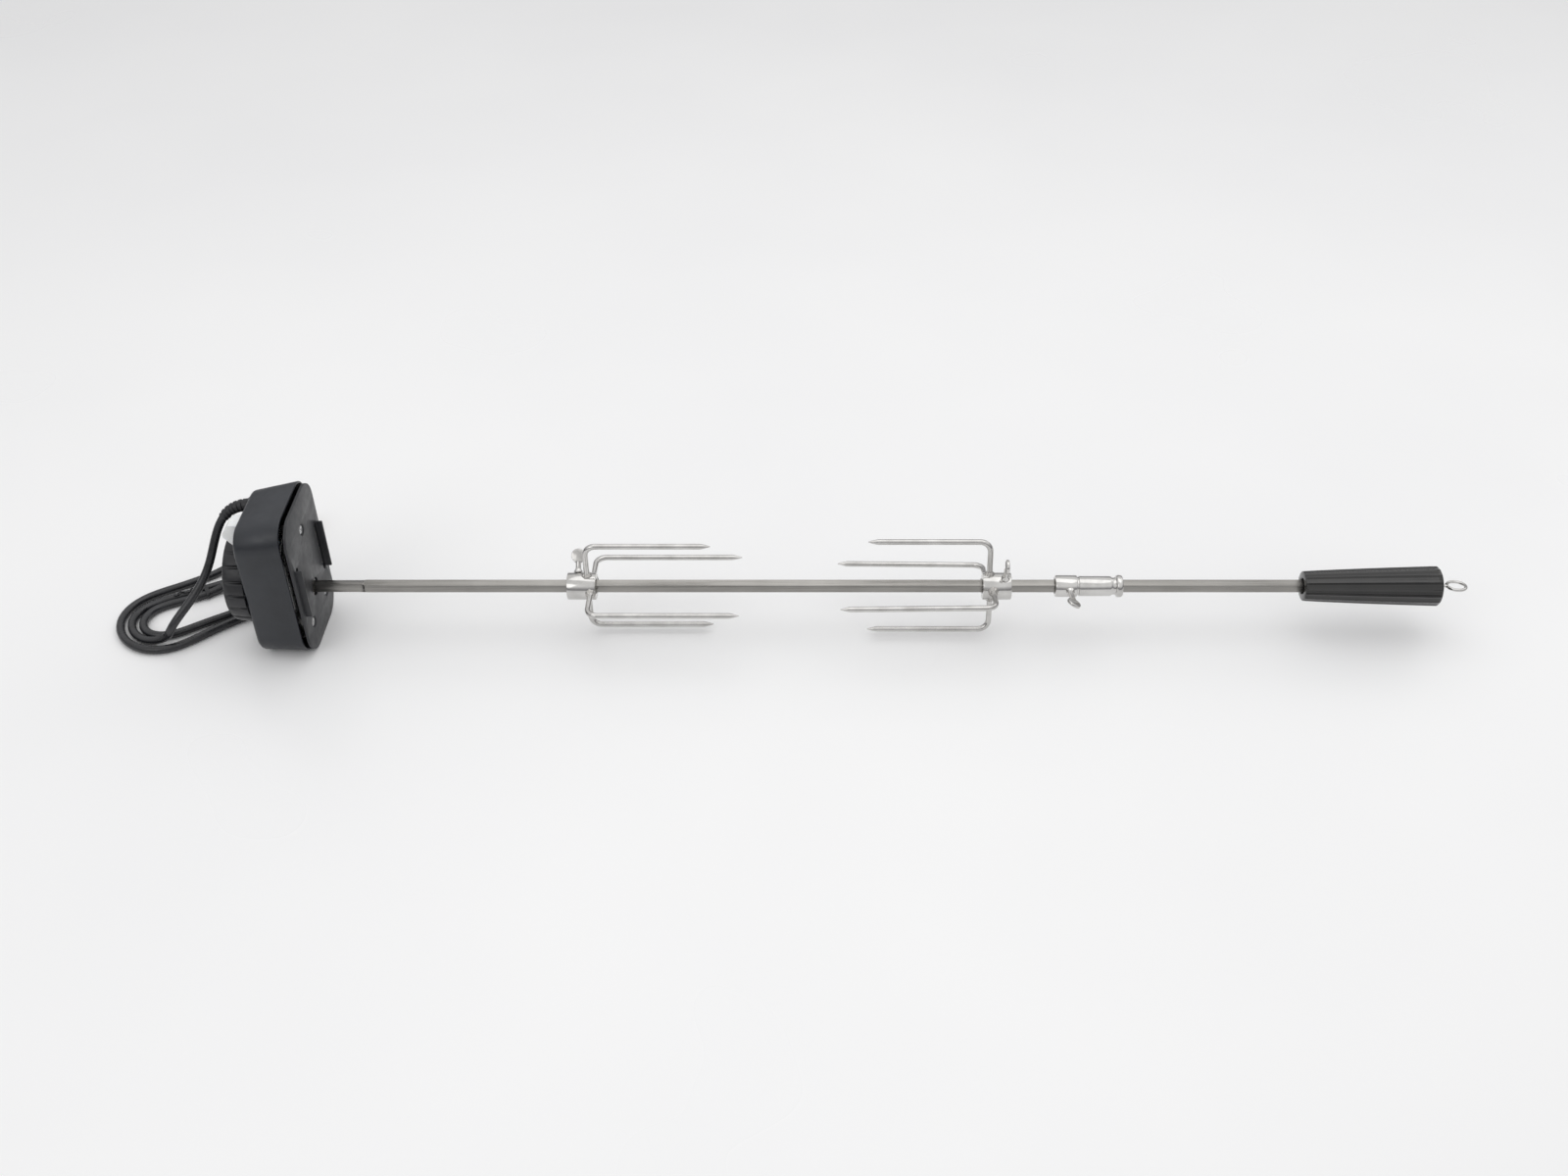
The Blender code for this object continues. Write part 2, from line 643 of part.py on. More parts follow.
# ---------------------------------------------------------------- forks
def group(name, point, pieces):
    """Empty on a joint axis that carries the pieces of one moving body."""
    bpy.context.view_layer.update()
    pivot = bpy.data.objects.new(name, None)
    pivot.empty_display_size = 0.02
    ASSEMBLY.objects.link(pivot)
    pivot.location = point
    for piece in pieces:
        piece.parent = pivot
        piece.matrix_parent_inverse = Matrix.Translation(-point)
    return pivot


def thumb_screw(name, station, angle, seat, head, paddle_turn):
    """Spade-head screw: shank square to the spit, flat round paddle in a plane through the shank.

    paddle_turn is the angle between the paddle's normal and the spit.
    """
    out = radial(angle)
    base = at(station)
    screw = lathe(
        name,
        [(0, 5.2), (1.5, 5.2), (2.35, 6.0), (2.35, seat + 0.3), (3.3, seat + 0.3), (3.1, seat + 1.3),
         (2.2, seat + 2.2), (2.2, head - 3.0), (0, head - 3.0)],
        "chrome", base, along=out, steps=16,
    )
    turn = math.radians(paddle_turn)
    normal = Vector((1, 0, 0)) * math.cos(turn) + out.cross(Vector((1, 0, 0))) * math.sin(turn)
    paddle = lathe(
        name + "_paddle", [(0, -1.2), (5.2, -1.2), (5.6, -0.8), (5.6, 0.8), (5.2, 1.2), (0, 1.2)],
        None, base + out * head * MM, along=normal, steps=24,
    )
    combine(screw, paddle, "UNION")
    return on_axis(screw, base)


def screw_bore(name, target, station, angle):
    combine(target, lathe(
        name, [(0, 0), (2.65, 0), (2.65, 14), (0, 14)], None, at(station), along=radial(angle), steps=16,
    ))


def prong(name, angle, leg, tip, splay):
    """Wire prong: radial leg from the collar, one bend, then a tine along the spit to a pointed tip."""
    out = radial(angle)
    way = 1 if tip > leg else -1
    start = COLLAR_R + GAP
    points = [at(leg) + out * start * MM]
    for k in range(6):
        turn = math.radians(90 * k / 5)
        points.append(
            at(leg + way * BEND_R * (1 - math.cos(turn)))
            + out * (TINE_RADIUS - BEND_R * (1 - math.sin(turn))) * MM
        )
    lift = math.tan(math.radians(splay))
    reach = abs(tip - leg) - BEND_R
    for part in (reach - TINE_TIP, reach):
        points.append(at(leg + way * (BEND_R + part)) + out * (TINE_RADIUS + lift * part) * MM)
    return wire(name, points, WIRE_R, "chrome", 4, [1.0] * (len(points) - 1) + [0.14])


def fork(side, collar_start, prongs, screw_at, screw_angle, screw_head, paddle_turn):
    low, high = collar_start, collar_start + COLLAR_LONG
    collar = lathe(
        f"fork_collar_{side}",
        [(BORE_R, low), (COLLAR_R - 0.5, low), (COLLAR_R, low + 0.5), (COLLAR_R, high - 0.5),
         (COLLAR_R - 0.5, high), (BORE_R, high)],
        "chrome", at(0), hollow=True, steps=36,
    )
    screw_bore(f"screw_bore_{side}", collar, screw_at, screw_angle)
    pieces = [collar]
    for place, angle, leg, tip, splay in prongs:
        pieces.append(prong(f"prong_{side}_{place}", angle, leg, tip, splay))
    screw = thumb_screw(f"thumb_screw_{side}", screw_at, screw_angle, COLLAR_R, screw_head, paddle_turn)
    group(f"fork_{side}_slide", at(low), pieces)
    return screw


fork(
    "left", 198.4,
    [("front", 1.4, 217.0, 334.0, 0.0), ("top", 91.4, 214.0, 311.5, 0.0),
     ("back", 181.4, 217.0, 334.0, 0.0), ("low", 271.4, 214.0, 311.5, 0.0)],
    206.4, 131.5, 24.0, 90.0,
)
fork(
    "right", 523.6,
    [("front", 12.0, 531.5, 411.5, 1.2), ("top", 102.0, 529.0, 433.5, 0.0),
     ("back", 192.0, 527.5, 410.5, 1.2), ("low", 282.0, 530.0, 433.5, 0.0)],
    541.0, 71.5, 27.0, 0.0,
)

# ---------------------------------------------------------------- clamping sleeve
sleeve = lathe(
    "spit_sleeve",
    [(BORE_R, 580.5), (7.6, 580.5), (8.65, 582.0), (8.65, 597.6), (7.4, 598.2), (7.4, 599.0), (7.95, 599.4),
     (7.95, 624.2), (6.95, 625.2), (6.75, 626.6), (6.95, 628.2), (8.2, 628.8), (8.85, 630.0), (8.85, 631.8),
     (8.1, 633.2), (BORE_R, 633.4)],
    "chrome", at(0), hollow=True, steps=36,
)
screw_bore("screw_bore_sleeve", sleeve, 591.8, FLAT_ANGLE)
thumb_screw("thumb_screw_sleeve", 591.8, FLAT_ANGLE, 8.65, 29.0, 62.0)
on_axis(sleeve, at(580.5))


# ---------------------------------------------------------------- handle and hanging eye
def handle_loop(station, radius, flute):
    """Round outline with shallow lengthwise flutes."""
    loop = []
    pitch = 360.0 / HANDLE_FLUTES
    for k in range(HANDLE_FLUTES):
        for part, depth in ((0.0, 0.0), (0.22, 0.75), (0.5, 1.0), (0.78, 0.75)):
            turn = math.radians((k + part) * pitch + 4.0)
            r = radius - flute * depth
            loop.append(at(station, -r * math.cos(turn), r * math.sin(turn)))
    return loop


handle = loft(
    "handle_grip",
    [
        handle_loop(HANDLE_LEFT, HANDLE_R_LEFT - 0.8, 0.1),
        handle_loop(HANDLE_LEFT + 0.8, HANDLE_R_LEFT, 0.55),
        handle_loop(HANDLE_RIGHT - 6.0, HANDLE_R_RIGHT - 0.1, 0.65),
        handle_loop(HANDLE_RIGHT - 2.8, HANDLE_R_RIGHT - 0.7, 0.4),
        handle_loop(HANDLE_RIGHT - 0.8, HANDLE_R_RIGHT - 2.4, 0.15),
        handle_loop(HANDLE_RIGHT, HANDLE_R_RIGHT - 4.6, 0.0),
    ],
    "gloss_black",
)
combine(handle, lathe(
    "handle_bore",
    [(0, HANDLE_LEFT - 2), (6.1, HANDLE_LEFT - 2), (6.1, HEX_END + 0.6), (3.35, HEX_END + 0.6),
     (3.35, STUD_END + 1.0), (0, STUD_END + 1.0)],
    None, at(0), steps=24,
))
EYE_WIRE, EYE_R, EYE_MIDDLE = 1.25, 7.25, 896.2
combine(handle, lathe(
    "eye_bore",
    [(0, 866.0), (1.6, 866.0), (1.6, HANDLE_RIGHT + 2), (0, HANDLE_RIGHT + 2)],
    None, at(0), steps=16,
))
on_axis(handle, at(HANDLE_LEFT))
turn_in = math.radians(55)
bend = [(0.0, 867.0), (0.0, 884.9)]
bend += [(4 * (1 - math.cos(turn_in * k / 4)), 884.9 + 4 * math.sin(turn_in * k / 4)) for k in range(1, 5)]
eye = [
    (EYE_R * math.sin(math.radians(a)), EYE_MIDDLE + EYE_R * math.cos(math.radians(a)))
    for a in range(145, -166, -15)
]
wire(
    "hanging_eye", [at(station, across, 0.35 * across) for across, station in bend + eye],
    EYE_WIRE, "chrome", 3,
)

# ---------------------------------------------------------------- cord
HANK_AT = (-128.0, 9.0)  # station and across of the left fold's centre
HANK_LONG = Vector((0.857, 0.515))  # direction of the hank on the surface
HANK_WIDE = Vector((-0.515, 0.857))


def on_hank(u, v, up=CORD_REST):
    """A point at u along the hank and v across it."""
    spot = Vector(HANK_AT) + HANK_LONG * u + HANK_WIDE * v
    return at(spot.x, spot.y, up)


def smooth(route, spacing):
    """Points a fixed distance apart on a smooth curve through the route."""
    path = []
    ends = [route[0] * 2 - route[1]] + list(route) + [route[-1] * 2 - route[-2]]
    for a, b, c, d in zip(ends, ends[1:], ends[2:], ends[3:]):
        for k in range(24):
            t = k / 24
            path.append(0.5 * (
                2 * b + (c - a) * t + (2 * a - 5 * b + 4 * c - d) * t * t + (3 * b - a - 3 * c + d) * t ** 3
            ))
    path.append(route[-1])
    even = [path[0]]
    travelled = 0.0
    for before, after in zip(path, path[1:]):
        travelled += (after - before).length
        if travelled >= spacing * MM:
            even.append(after)
            travelled = 0.0
    if (even[-1] - route[-1]).length < spacing * MM / 2:
        even.pop()
    return even + [route[-1]]


LEAD_ROUTE = [
    (-38.0, 23.0, 62.0), (-50.0, 23.0, 62.0), (-58.0, 22.9, 60.6), (-65.5, 22.6, 56.0), (-71.0, 22.0, 49.0),
    (-74.5, 20.5, 40.5), (-77.0, 18.0, 31.5), (-79.5, 14.5, 22.0), (-82.0, 10.0, 12.5), (-86.0, 5.0, 3.2),
    (-91.5, -1.0, -5.6), (-98.5, -7.0, -13.8), (-106.0, -12.5, -21.2), (-112.5, -17.5, -27.6),
    (-118.5, -22.0, -33.3),
]
wire("cord_lead", smooth([at(*point) for point in LEAD_ROUTE], 9.0), CORD_R, "rubber", 3)
hank_edge = []
for a in range(-90, -271, -10):
    hank_edge.append((41.0 * math.cos(math.radians(a)), 41.0 * math.sin(math.radians(a))))
hank_edge += [(30.0, 41.5), (58.0, 45.5), (75.2, 47.4), (77.0, 42.4), (86.0, 8.0)]
for a in range(0, -91, -10):
    hank_edge.append((66.0 + 24.0 * math.cos(math.radians(a)), -6.0 + 24.0 * math.sin(math.radians(a))))
prism(
    "cord_hank", [[(u, v) for u, v in reversed(hank_edge)]], 7.0, "rubber",
    at(HANK_AT[0], HANK_AT[1], 0.15 - AXIS_HEIGHT), along=(0, 0, 1), side=(HANK_LONG.x, HANK_LONG.y, 0),
)
HANK_TOP = 7.15 - AXIS_HEIGHT
tie = [on_hank(12.0 + 2.0 * k, 17.0 + 2.2 * math.sin(k * 1.1), HANK_TOP + GAP + 0.9) for k in range(16)]
wire("twist_tie", tie, 0.8, "rubber", 2)
plug_way = (HANK_LONG * 0.93 + HANK_WIDE * 0.37).normalized()
plug_way = Vector((plug_way.x, plug_way.y, 0.0))
PLUG_AT = on_hank(78.0, 45.0, 9.2 - AXIS_HEIGHT)
lathe(
    "plug_strain_relief",
    [(0, 0.5), (3.5, 0.5), (4.3, 4.0), (5.6, 22.0), (0, 22.0)], "rubber", PLUG_AT, along=plug_way, steps=20,
)
box(
    "plug_body", (24.0, 17.0, 28.0), "rubber", PLUG_AT + plug_way * 36.4 * MM, along=plug_way,
    side=plug_way.cross(Vector((0, 0, 1))), bevel=3.0,
)
plug_side = plug_way.cross(Vector((0, 0, 1)))
for index, offset in enumerate((6.35, -6.35)):
    box(
        f"plug_blade_{index + 1}", (1.5, 6.3, 16.0), "brass",
        PLUG_AT + plug_way * 58.8 * MM + plug_side * offset * MM + Vector((0, 0, -1.5 * MM)),
        along=plug_way, side=plug_side,
    )
lathe(
    "plug_earth_pin", [(0, 50.8), (2.4, 50.8), (2.4, 67.0), (1.2, 69.5), (0, 69.5)], "brass",
    PLUG_AT + Vector((0, 0, 4.8 * MM)), along=plug_way, steps=14,
)
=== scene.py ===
"""Looks of the grill rotisserie spit kit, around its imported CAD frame. Lengths are millimetres until at()."""

import math

import bmesh
import bpy
from mathutils import Matrix, Vector


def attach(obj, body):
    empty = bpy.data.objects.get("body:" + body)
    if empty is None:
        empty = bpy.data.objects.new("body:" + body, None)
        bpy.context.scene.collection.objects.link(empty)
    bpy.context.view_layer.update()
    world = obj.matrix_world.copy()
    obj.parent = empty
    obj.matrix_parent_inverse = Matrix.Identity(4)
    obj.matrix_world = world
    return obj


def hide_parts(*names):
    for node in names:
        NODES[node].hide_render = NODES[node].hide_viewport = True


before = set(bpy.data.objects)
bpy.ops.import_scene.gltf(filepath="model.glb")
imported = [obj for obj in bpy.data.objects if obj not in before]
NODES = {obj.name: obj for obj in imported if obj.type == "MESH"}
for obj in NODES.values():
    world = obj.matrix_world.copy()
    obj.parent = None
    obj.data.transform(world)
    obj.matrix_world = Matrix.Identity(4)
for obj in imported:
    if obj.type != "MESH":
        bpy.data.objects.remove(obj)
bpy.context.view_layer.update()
MM = 0.001
X_MID = 423.0  # station that stands over the origin
AXIS_HEIGHT = 44.0
CORD_R = 3.3
CORD_REST = CORD_R + 0.15  # height of a resting cord's middle above the table


# ---------------------------------------------------------------- places
def at(station, across=0.0, up=0.0):
    """A point from its distance along the spit, across it (away from the viewer) and above the drive axis."""
    return Vector(((station - X_MID) * MM, across * MM, (up + AXIS_HEIGHT) * MM))


def radial(angle):
    """Unit vector square to the spit: 0 faces the viewer, 90 is up."""
    turn = math.radians(angle)
    return Vector((0.0, -math.cos(turn), math.sin(turn)))


def frame_at(origin, along, side=None):
    """Matrix whose Z lies along a direction and whose X lies near side."""
    z = Vector(along).normalized()
    x = Vector(side) if side is not None else (Vector((0, 0, 1)) if abs(z.z) < 0.9 else Vector((1, 0, 0)))
    x = (x - z * x.dot(z)).normalized()
    y = z.cross(x)
    matrix = Matrix((x, y, z)).transposed().to_4x4()
    matrix.translation = origin
    return matrix


# ---------------------------------------------------------------- camera
CAMERA_TARGET = Vector((-0.0311, 0.0, 0.044))
CAMERA_ELEVATION = math.radians(38.5)
CAMERA_DISTANCE = 1.2744
CAMERA_LENS = 37.24
CAMERA_SHIFT = (-0.0194, -0.00125)


def add_camera():
    data = bpy.data.cameras.new("camera")
    data.sensor_width = 36.0
    data.lens = CAMERA_LENS
    data.shift_x, data.shift_y = CAMERA_SHIFT
    camera = bpy.data.objects.new("camera", data)
    bpy.context.scene.collection.objects.link(camera)
    way = Vector((0, -math.cos(CAMERA_ELEVATION), math.sin(CAMERA_ELEVATION)))
    camera.location = CAMERA_TARGET + way * CAMERA_DISTANCE
    camera.rotation_euler = (math.pi / 2 - CAMERA_ELEVATION, 0, 0)
    bpy.context.scene.camera = camera


# ---------------------------------------------------------------- materials
class Shade:
    """A Principled material with short calls for its procedural nodes."""

    def __init__(self, name, rough, metal=0.0, **sockets):
        self.material = bpy.data.materials.new(name)
        self.material.use_nodes = True
        self.tree = self.material.node_tree
        self.shader = self.tree.nodes["Principled BSDF"]
        self.shader.inputs["Roughness"].default_value = rough
        self.shader.inputs["Metallic"].default_value = metal
        for socket, value in sockets.items():
            self.shader.inputs[socket.replace("_", " ")].default_value = value
        self.place = self.node("ShaderNodeTexCoord").outputs["Object"]

    def node(self, kind, **settings):
        made = self.tree.nodes.new(kind)
        for key, value in settings.items():
            setattr(made, key, value)
        return made

    def link(self, source, target):
        self.tree.links.new(source, target)

    def scaled(self, scale):
        """Object coordinates in metres, multiplied by a number or by one number for each axis."""
        mapping = self.node("ShaderNodeMapping")
        mapping.inputs["Scale"].default_value = scale if isinstance(scale, tuple) else (scale,) * 3
        self.link(self.place, mapping.inputs["Vector"])
        return mapping.outputs["Vector"]

    def noise(self, scale, detail=3.0, rough=0.55):
        made = self.node("ShaderNodeTexNoise")
        made.inputs["Scale"].default_value = 1.0
        made.inputs["Detail"].default_value = detail
        made.inputs["Roughness"].default_value = rough
        self.link(self.scaled(scale), made.inputs["Vector"])
        return made.outputs["Fac"]

    def cells(self, scale):
        made = self.node("ShaderNodeTexVoronoi")
        made.inputs["Scale"].default_value = 1.0
        self.link(self.scaled(scale), made.inputs["Vector"])
        return made.outputs["Distance"]

    def spread(self, source, low, high, start=0.3, end=0.7):
        made = self.node("ShaderNodeMapRange")
        for socket, value in (("From Min", start), ("From Max", end), ("To Min", low), ("To Max", high)):
            made.inputs[socket].default_value = value
        self.link(source, made.inputs["Value"])
        return made.outputs["Result"]

    def ramp(self, source, *stops):
        made = self.node("ShaderNodeValToRGB")
        elements = made.color_ramp.elements
        while len(elements) < len(stops):
            elements.new(0.5)
        for element, (spot, colour) in zip(elements, stops):
            element.position = spot
            element.color = (*colour, 1.0)
        self.link(source, made.inputs["Fac"])
        return made.outputs["Color"]

    def add(self, one, two, share):
        """one + two * share, for heights."""
        made = self.node("ShaderNodeMath", operation="MULTIPLY_ADD")
        made.inputs[1].default_value = share
        self.link(two, made.inputs[0])
        self.link(one, made.inputs[2])
        return made.outputs[0]

    def colour(self, source):
        self.link(source, self.shader.inputs["Base Color"])

    def rough(self, source):
        self.link(source, self.shader.inputs["Roughness"])

    def bump(self, height, depth, strength=1.0):
        made = self.node("ShaderNodeBump")
        made.inputs["Strength"].default_value = strength
        made.inputs["Distance"].default_value = depth * MM
        self.link(height, made.inputs["Height"])
        self.link(made.outputs["Normal"], self.shader.inputs["Normal"])


def powder_coat(name, dark, light, rough):
    """Baked powder paint: fine orange peel, with faint broad clouds in its sheen."""
    shade = Shade(name, rough)
    broad = shade.noise(28.0, 4.0)
    grain = shade.noise(1500.0, 2.0)
    peel = shade.cells(1100.0)
    shade.colour(shade.ramp(broad, (0.3, dark), (0.75, light)))
    shade.rough(shade.spread(shade.noise(160.0, 3.0), rough - 0.05, rough + 0.07))
    shade.bump(shade.add(grain, peel, 0.5), 0.05, 0.55)
    return shade.material


def moulded(name, dark, light, rough, grain_size=2200.0, depth=0.03, **sockets):
    """Moulded plastic with a fine spark-eroded grain."""
    shade = Shade(name, rough, **sockets)
    shade.colour(shade.ramp(shade.noise(45.0, 4.0), (0.3, dark), (0.7, light)))
    shade.rough(shade.spread(shade.noise(260.0, 4.0), rough - 0.06, rough + 0.08))
    shade.bump(shade.noise(grain_size, 2.0), depth, 0.6)
    return shade.material


def brushed(name, dark, light, rough, along=(14.0, 2600.0, 2600.0)):
    """Drawn metal with fine lines along the spit, and short cross scuffs."""
    shade = Shade(name, rough, 1.0)
    lines = shade.noise(along, 4.0, 0.7)
    clouds = shade.noise(30.0, 3.0)
    shade.colour(shade.ramp(shade.add(lines, clouds, 0.35), (0.45, dark), (0.9, light)))
    shade.rough(shade.spread(lines, rough - 0.07, rough + 0.1))
    shade.bump(lines, 0.03, 0.35)
    return shade.material


def plated(name, dark, light, rough, scratch=0.02):
    """Bright plating: broad soft clouding, with hairline scratches from handling."""
    shade = Shade(name, rough, 1.0)
    shade.colour(shade.ramp(shade.noise(70.0, 5.0), (0.3, dark), (0.65, light)))
    shade.rough(shade.spread(shade.noise(420.0, 5.0, 0.65), rough - 0.05, rough + 0.09))
    hair = shade.noise((240.0, 3200.0, 3200.0), 2.0)
    shade.bump(shade.add(hair, shade.noise(380.0, 2.0), 0.25), scratch, 0.25)
    return shade.material


def lead_jacket():
    """Soft vinyl jacket: matte, with fine drawn lines, dust and rubbed patches."""
    shade = Shade("lead_jacket", 0.28, Specular_IOR_Level=0.6)
    clouds = shade.noise(90.0, 5.0)
    shade.colour(shade.ramp(clouds, (0.3, (0.008, 0.008, 0.010)), (0.75, (0.020, 0.021, 0.025))))
    shade.rough(shade.spread(shade.noise(300.0, 4.0), 0.20, 0.36))
    shade.bump(shade.add(shade.noise(900.0, 3.0), shade.noise(120.0, 2.0), 0.8), 0.08, 0.5)
    return shade.material


def milky_boot():
    """Milky silicone over the switch: light passes a little way in."""
    shade = Shade("boot_silicone", 0.30, Transmission_Weight=0.04, IOR=1.42, Subsurface_Weight=0.30)
    shade.shader.inputs["Subsurface Radius"].default_value = (0.004, 0.004, 0.0035)
    shade.colour(shade.ramp(shade.noise(140.0, 4.0), (0.3, (0.84, 0.85, 0.85)), (0.7, (0.93, 0.94, 0.93))))
    shade.rough(shade.spread(shade.noise(500.0, 3.0), 0.24, 0.42))
    shade.bump(shade.noise(420.0, 3.0), 0.10, 0.4)
    return shade.material


def wound_copper():
    shade = Shade("wound_copper", 0.38, 1.0)
    turns_and_gap_shade = shade.node("ShaderNodeTexWave", wave_type="BANDS", bands_direction="X")
    turns_and_gap_shade.inputs["Scale"].default_value = 1.0
    turns_and_gap_shade.inputs["Distortion"].default_value = 0.6
    shade.link(shade.scaled((620.0, 60.0, 60.0)), turns_and_gap_shade.inputs["Vector"])
    # Colour follows the wire turns. The troughs, which the bump sinks into grooves between the turns, are
    # darker: painted shade in the gaps.
    shade.colour(shade.ramp(turns_and_gap_shade.outputs["Fac"], (0.1, (0.28, 0.09, 0.03)), (0.8, (0.72, 0.30, 0.13))))
    shade.rough(shade.spread(shade.noise(300.0), 0.3, 0.5))
    shade.bump(turns_and_gap_shade.outputs["Fac"], 0.12, 0.7)
    return shade.material


def table_top():
    shade = Shade("table_top", 0.30, Specular_IOR_Level=0.35)
    shade.colour(shade.ramp(shade.noise(1.6, 3.0), (0.3, (0.90, 0.90, 0.905)), (0.7, (0.94, 0.94, 0.94))))
    shade.rough(shade.spread(shade.noise(3.0, 2.0), 0.26, 0.36))
    shade.bump(shade.noise(420.0, 2.0), 0.02, 0.2)
    return shade.material


STEEL_BLACK = powder_coat("plate_powder_coat", (0.011, 0.012, 0.014), (0.020, 0.021, 0.025), 0.40)
SHELL_BLACK = powder_coat("shell_paint", (0.013, 0.015, 0.019), (0.023, 0.026, 0.033), 0.34)
COVER_BLACK = moulded("cover_plastic", (0.009, 0.009, 0.011), (0.018, 0.018, 0.021), 0.40)
GRIP_BLACK = moulded(
    "grip_phenolic", (0.005, 0.005, 0.005), (0.013, 0.012, 0.011), 0.17, 900.0, 0.02,
    Coat_Weight=0.35, Coat_Roughness=0.08,
)
JACKET = lead_jacket()
PLUG_BLACK = moulded("plug_vinyl", (0.010, 0.010, 0.012), (0.022, 0.022, 0.026), 0.42)
BOOT = milky_boot()
STAINLESS = brushed("drawn_stainless", (0.23, 0.222, 0.208), (0.41, 0.398, 0.378), 0.30)
CHROME = plated("bright_nickel", (0.50, 0.49, 0.475), (0.66, 0.65, 0.635), 0.12, 0.012)
WELD = plated("weld_nickel", (0.30, 0.29, 0.28), (0.62, 0.60, 0.57), 0.30, 0.12)
ZINC = plated("zinc_plate", (0.50, 0.51, 0.52), (0.72, 0.72, 0.71), 0.28)
BRASS = plated("brass_contacts", (0.52, 0.42, 0.22), (0.74, 0.62, 0.36), 0.26)
BUSHING = plated("sintered_bushing", (0.72, 0.71, 0.67), (0.88, 0.87, 0.84), 0.34)
MAGNET = moulded("ferrite_magnet", (0.020, 0.019, 0.019), (0.045, 0.043, 0.042), 0.60, 1400.0, 0.06)
COPPER = wound_copper()
NYLON = moulded(
    "gear_nylon", (0.62, 0.60, 0.53), (0.76, 0.74, 0.67), 0.42, 1300.0, 0.03, Subsurface_Weight=0.2,
)
SLOT_FINISH = {
    "black_steel": STEEL_BLACK, "satin_black": SHELL_BLACK, "cover_black": COVER_BLACK,
    "gloss_black": GRIP_BLACK, "rubber": PLUG_BLACK, "boot": BOOT, "stainless": STAINLESS, "chrome": CHROME,
    "zinc": ZINC, "brass": BRASS, "magnet": MAGNET, "winding": COPPER, "nylon": NYLON,
}


EDGE_ROUNDS = {
    "mounting_plate": 0.35, "housing_shell": 0.25, "spit_rod": 0.45, "motor_cover": 0.5, "plug_blade_1": 0.4,
    "plug_blade_2": 0.4, "gearbox_front_frame": 0.2, "gearbox_rear_frame": 0.2, "switch_body": 0.4,
}


def finish_cad_nodes():
    """Gives each CAD node its slot's material, smooth shading on its round faces, and small edge rounds."""
    for name, node in NODES.items():
        slot = node.data.materials[0].name.split(".")[0] if node.data.materials else ""
        finish = SLOT_FINISH.get(slot, ZINC)
        if name == "output_bushing":
            finish = BUSHING
        for index in range(max(1, len(node.data.materials))):
            if node.data.materials:
                node.data.materials[index] = finish
            else:
                node.data.materials.append(finish)
        for mark in ("custom_normal", "sharp_face"):
            if mark in node.data.attributes:
                node.data.attributes.remove(node.data.attributes[mark])
        weld = node.modifiers.new("weld", "WELD")
        weld.merge_threshold = 2e-6
        if name in EDGE_ROUNDS:
            bevel = node.modifiers.new("edges", "BEVEL")
            bevel.width = EDGE_ROUNDS[name] * MM
            bevel.segments = 2
            bevel.limit_method = "ANGLE"
            bevel.angle_limit = math.radians(40)
            bevel.harden_normals = False
        smooth_by_angle(node, 32 if name in ("housing_shell", "motor_cover") else 40)


def smooth_by_angle(obj, angle):
    """Shades a piece smooth, with an edge split where faces meet at more than the angle."""
    for face in obj.data.polygons:
        face.use_smooth = True
    split = obj.modifiers.new("creases", "EDGE_SPLIT")
    split.split_angle = math.radians(angle)


# ---------------------------------------------------------------- mesh helpers
def piece(name, bm, material, body, nodes=(), crease=38.0):
    """Makes an object of a bmesh, which rides on a body and stands for CAD nodes."""
    bmesh.ops.recalc_face_normals(bm, faces=bm.faces)
    data = bpy.data.meshes.new(name)
    bm.to_mesh(data)
    bm.free()
    for face in data.polygons:
        face.use_smooth = True
    obj = bpy.data.objects.new(name, data)
    bpy.context.scene.collection.objects.link(obj)
    data.materials.append(material)
    if crease:
        data.set_sharp_from_angle(angle=math.radians(crease))
    settle(obj, body, nodes)
    return obj


def settle(obj, body, nodes):
    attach(obj, body)
    if nodes:
        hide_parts(*([nodes] if isinstance(nodes, str) else nodes))


def skin(bm, rings, closed=False, ends=True):
    """Faces between rings of points that match one to one."""
    rows = [[bm.verts.new(point) for point in ring] for ring in rings]
    pairs = list(zip(rows, rows[1:]))
    if closed:
        pairs.append((rows[-1], rows[0]))
    for low, high in pairs:
        count = len(low)
        for k in range(count):
            bm.faces.new((low[k], low[(k + 1) % count], high[(k + 1) % count], high[k]))
    if ends and not closed:
        bm.faces.new(list(reversed(rows[0])))
        bm.faces.new(rows[-1])


def turned(bm, profile, matrix, steps=64, closed=False):
    """Adds a lathe shape: profile is (radius, height) in millimetres, from one end to the other."""
    rings = []
    for radius, height in profile:
        ring = []
        for k in range(steps):
            turn = 2 * math.pi * k / steps
            ring.append(matrix @ Vector((radius * math.cos(turn), radius * math.sin(turn), height)))
        rings.append(ring)
    skin(bm, rings, closed)


def mm_frame(origin, along, side=None):
    """frame_at() that takes millimetres."""
    return frame_at(origin, along, side) @ Matrix.Scale(MM, 4)


def tube_rings(points, radii, steps=20):
    """Rings of a tube through points, kept from twisting."""
    rings = []
    tangent = (points[1] - points[0]).normalized()
    side = tangent.orthogonal().normalized()
    for index, point in enumerate(points):
        before = points[max(index - 1, 0)]
        after = points[min(index + 1, len(points) - 1)]
        tangent = (after - before).normalized()
        side = (side - tangent * side.dot(tangent)).normalized()
        other = tangent.cross(side)
        radius = radii[index] * MM
        turns = [2 * math.pi * k / steps for k in range(steps)]
        rings.append([point + side * radius * math.cos(t) + other * radius * math.sin(t) for t in turns])
    return rings


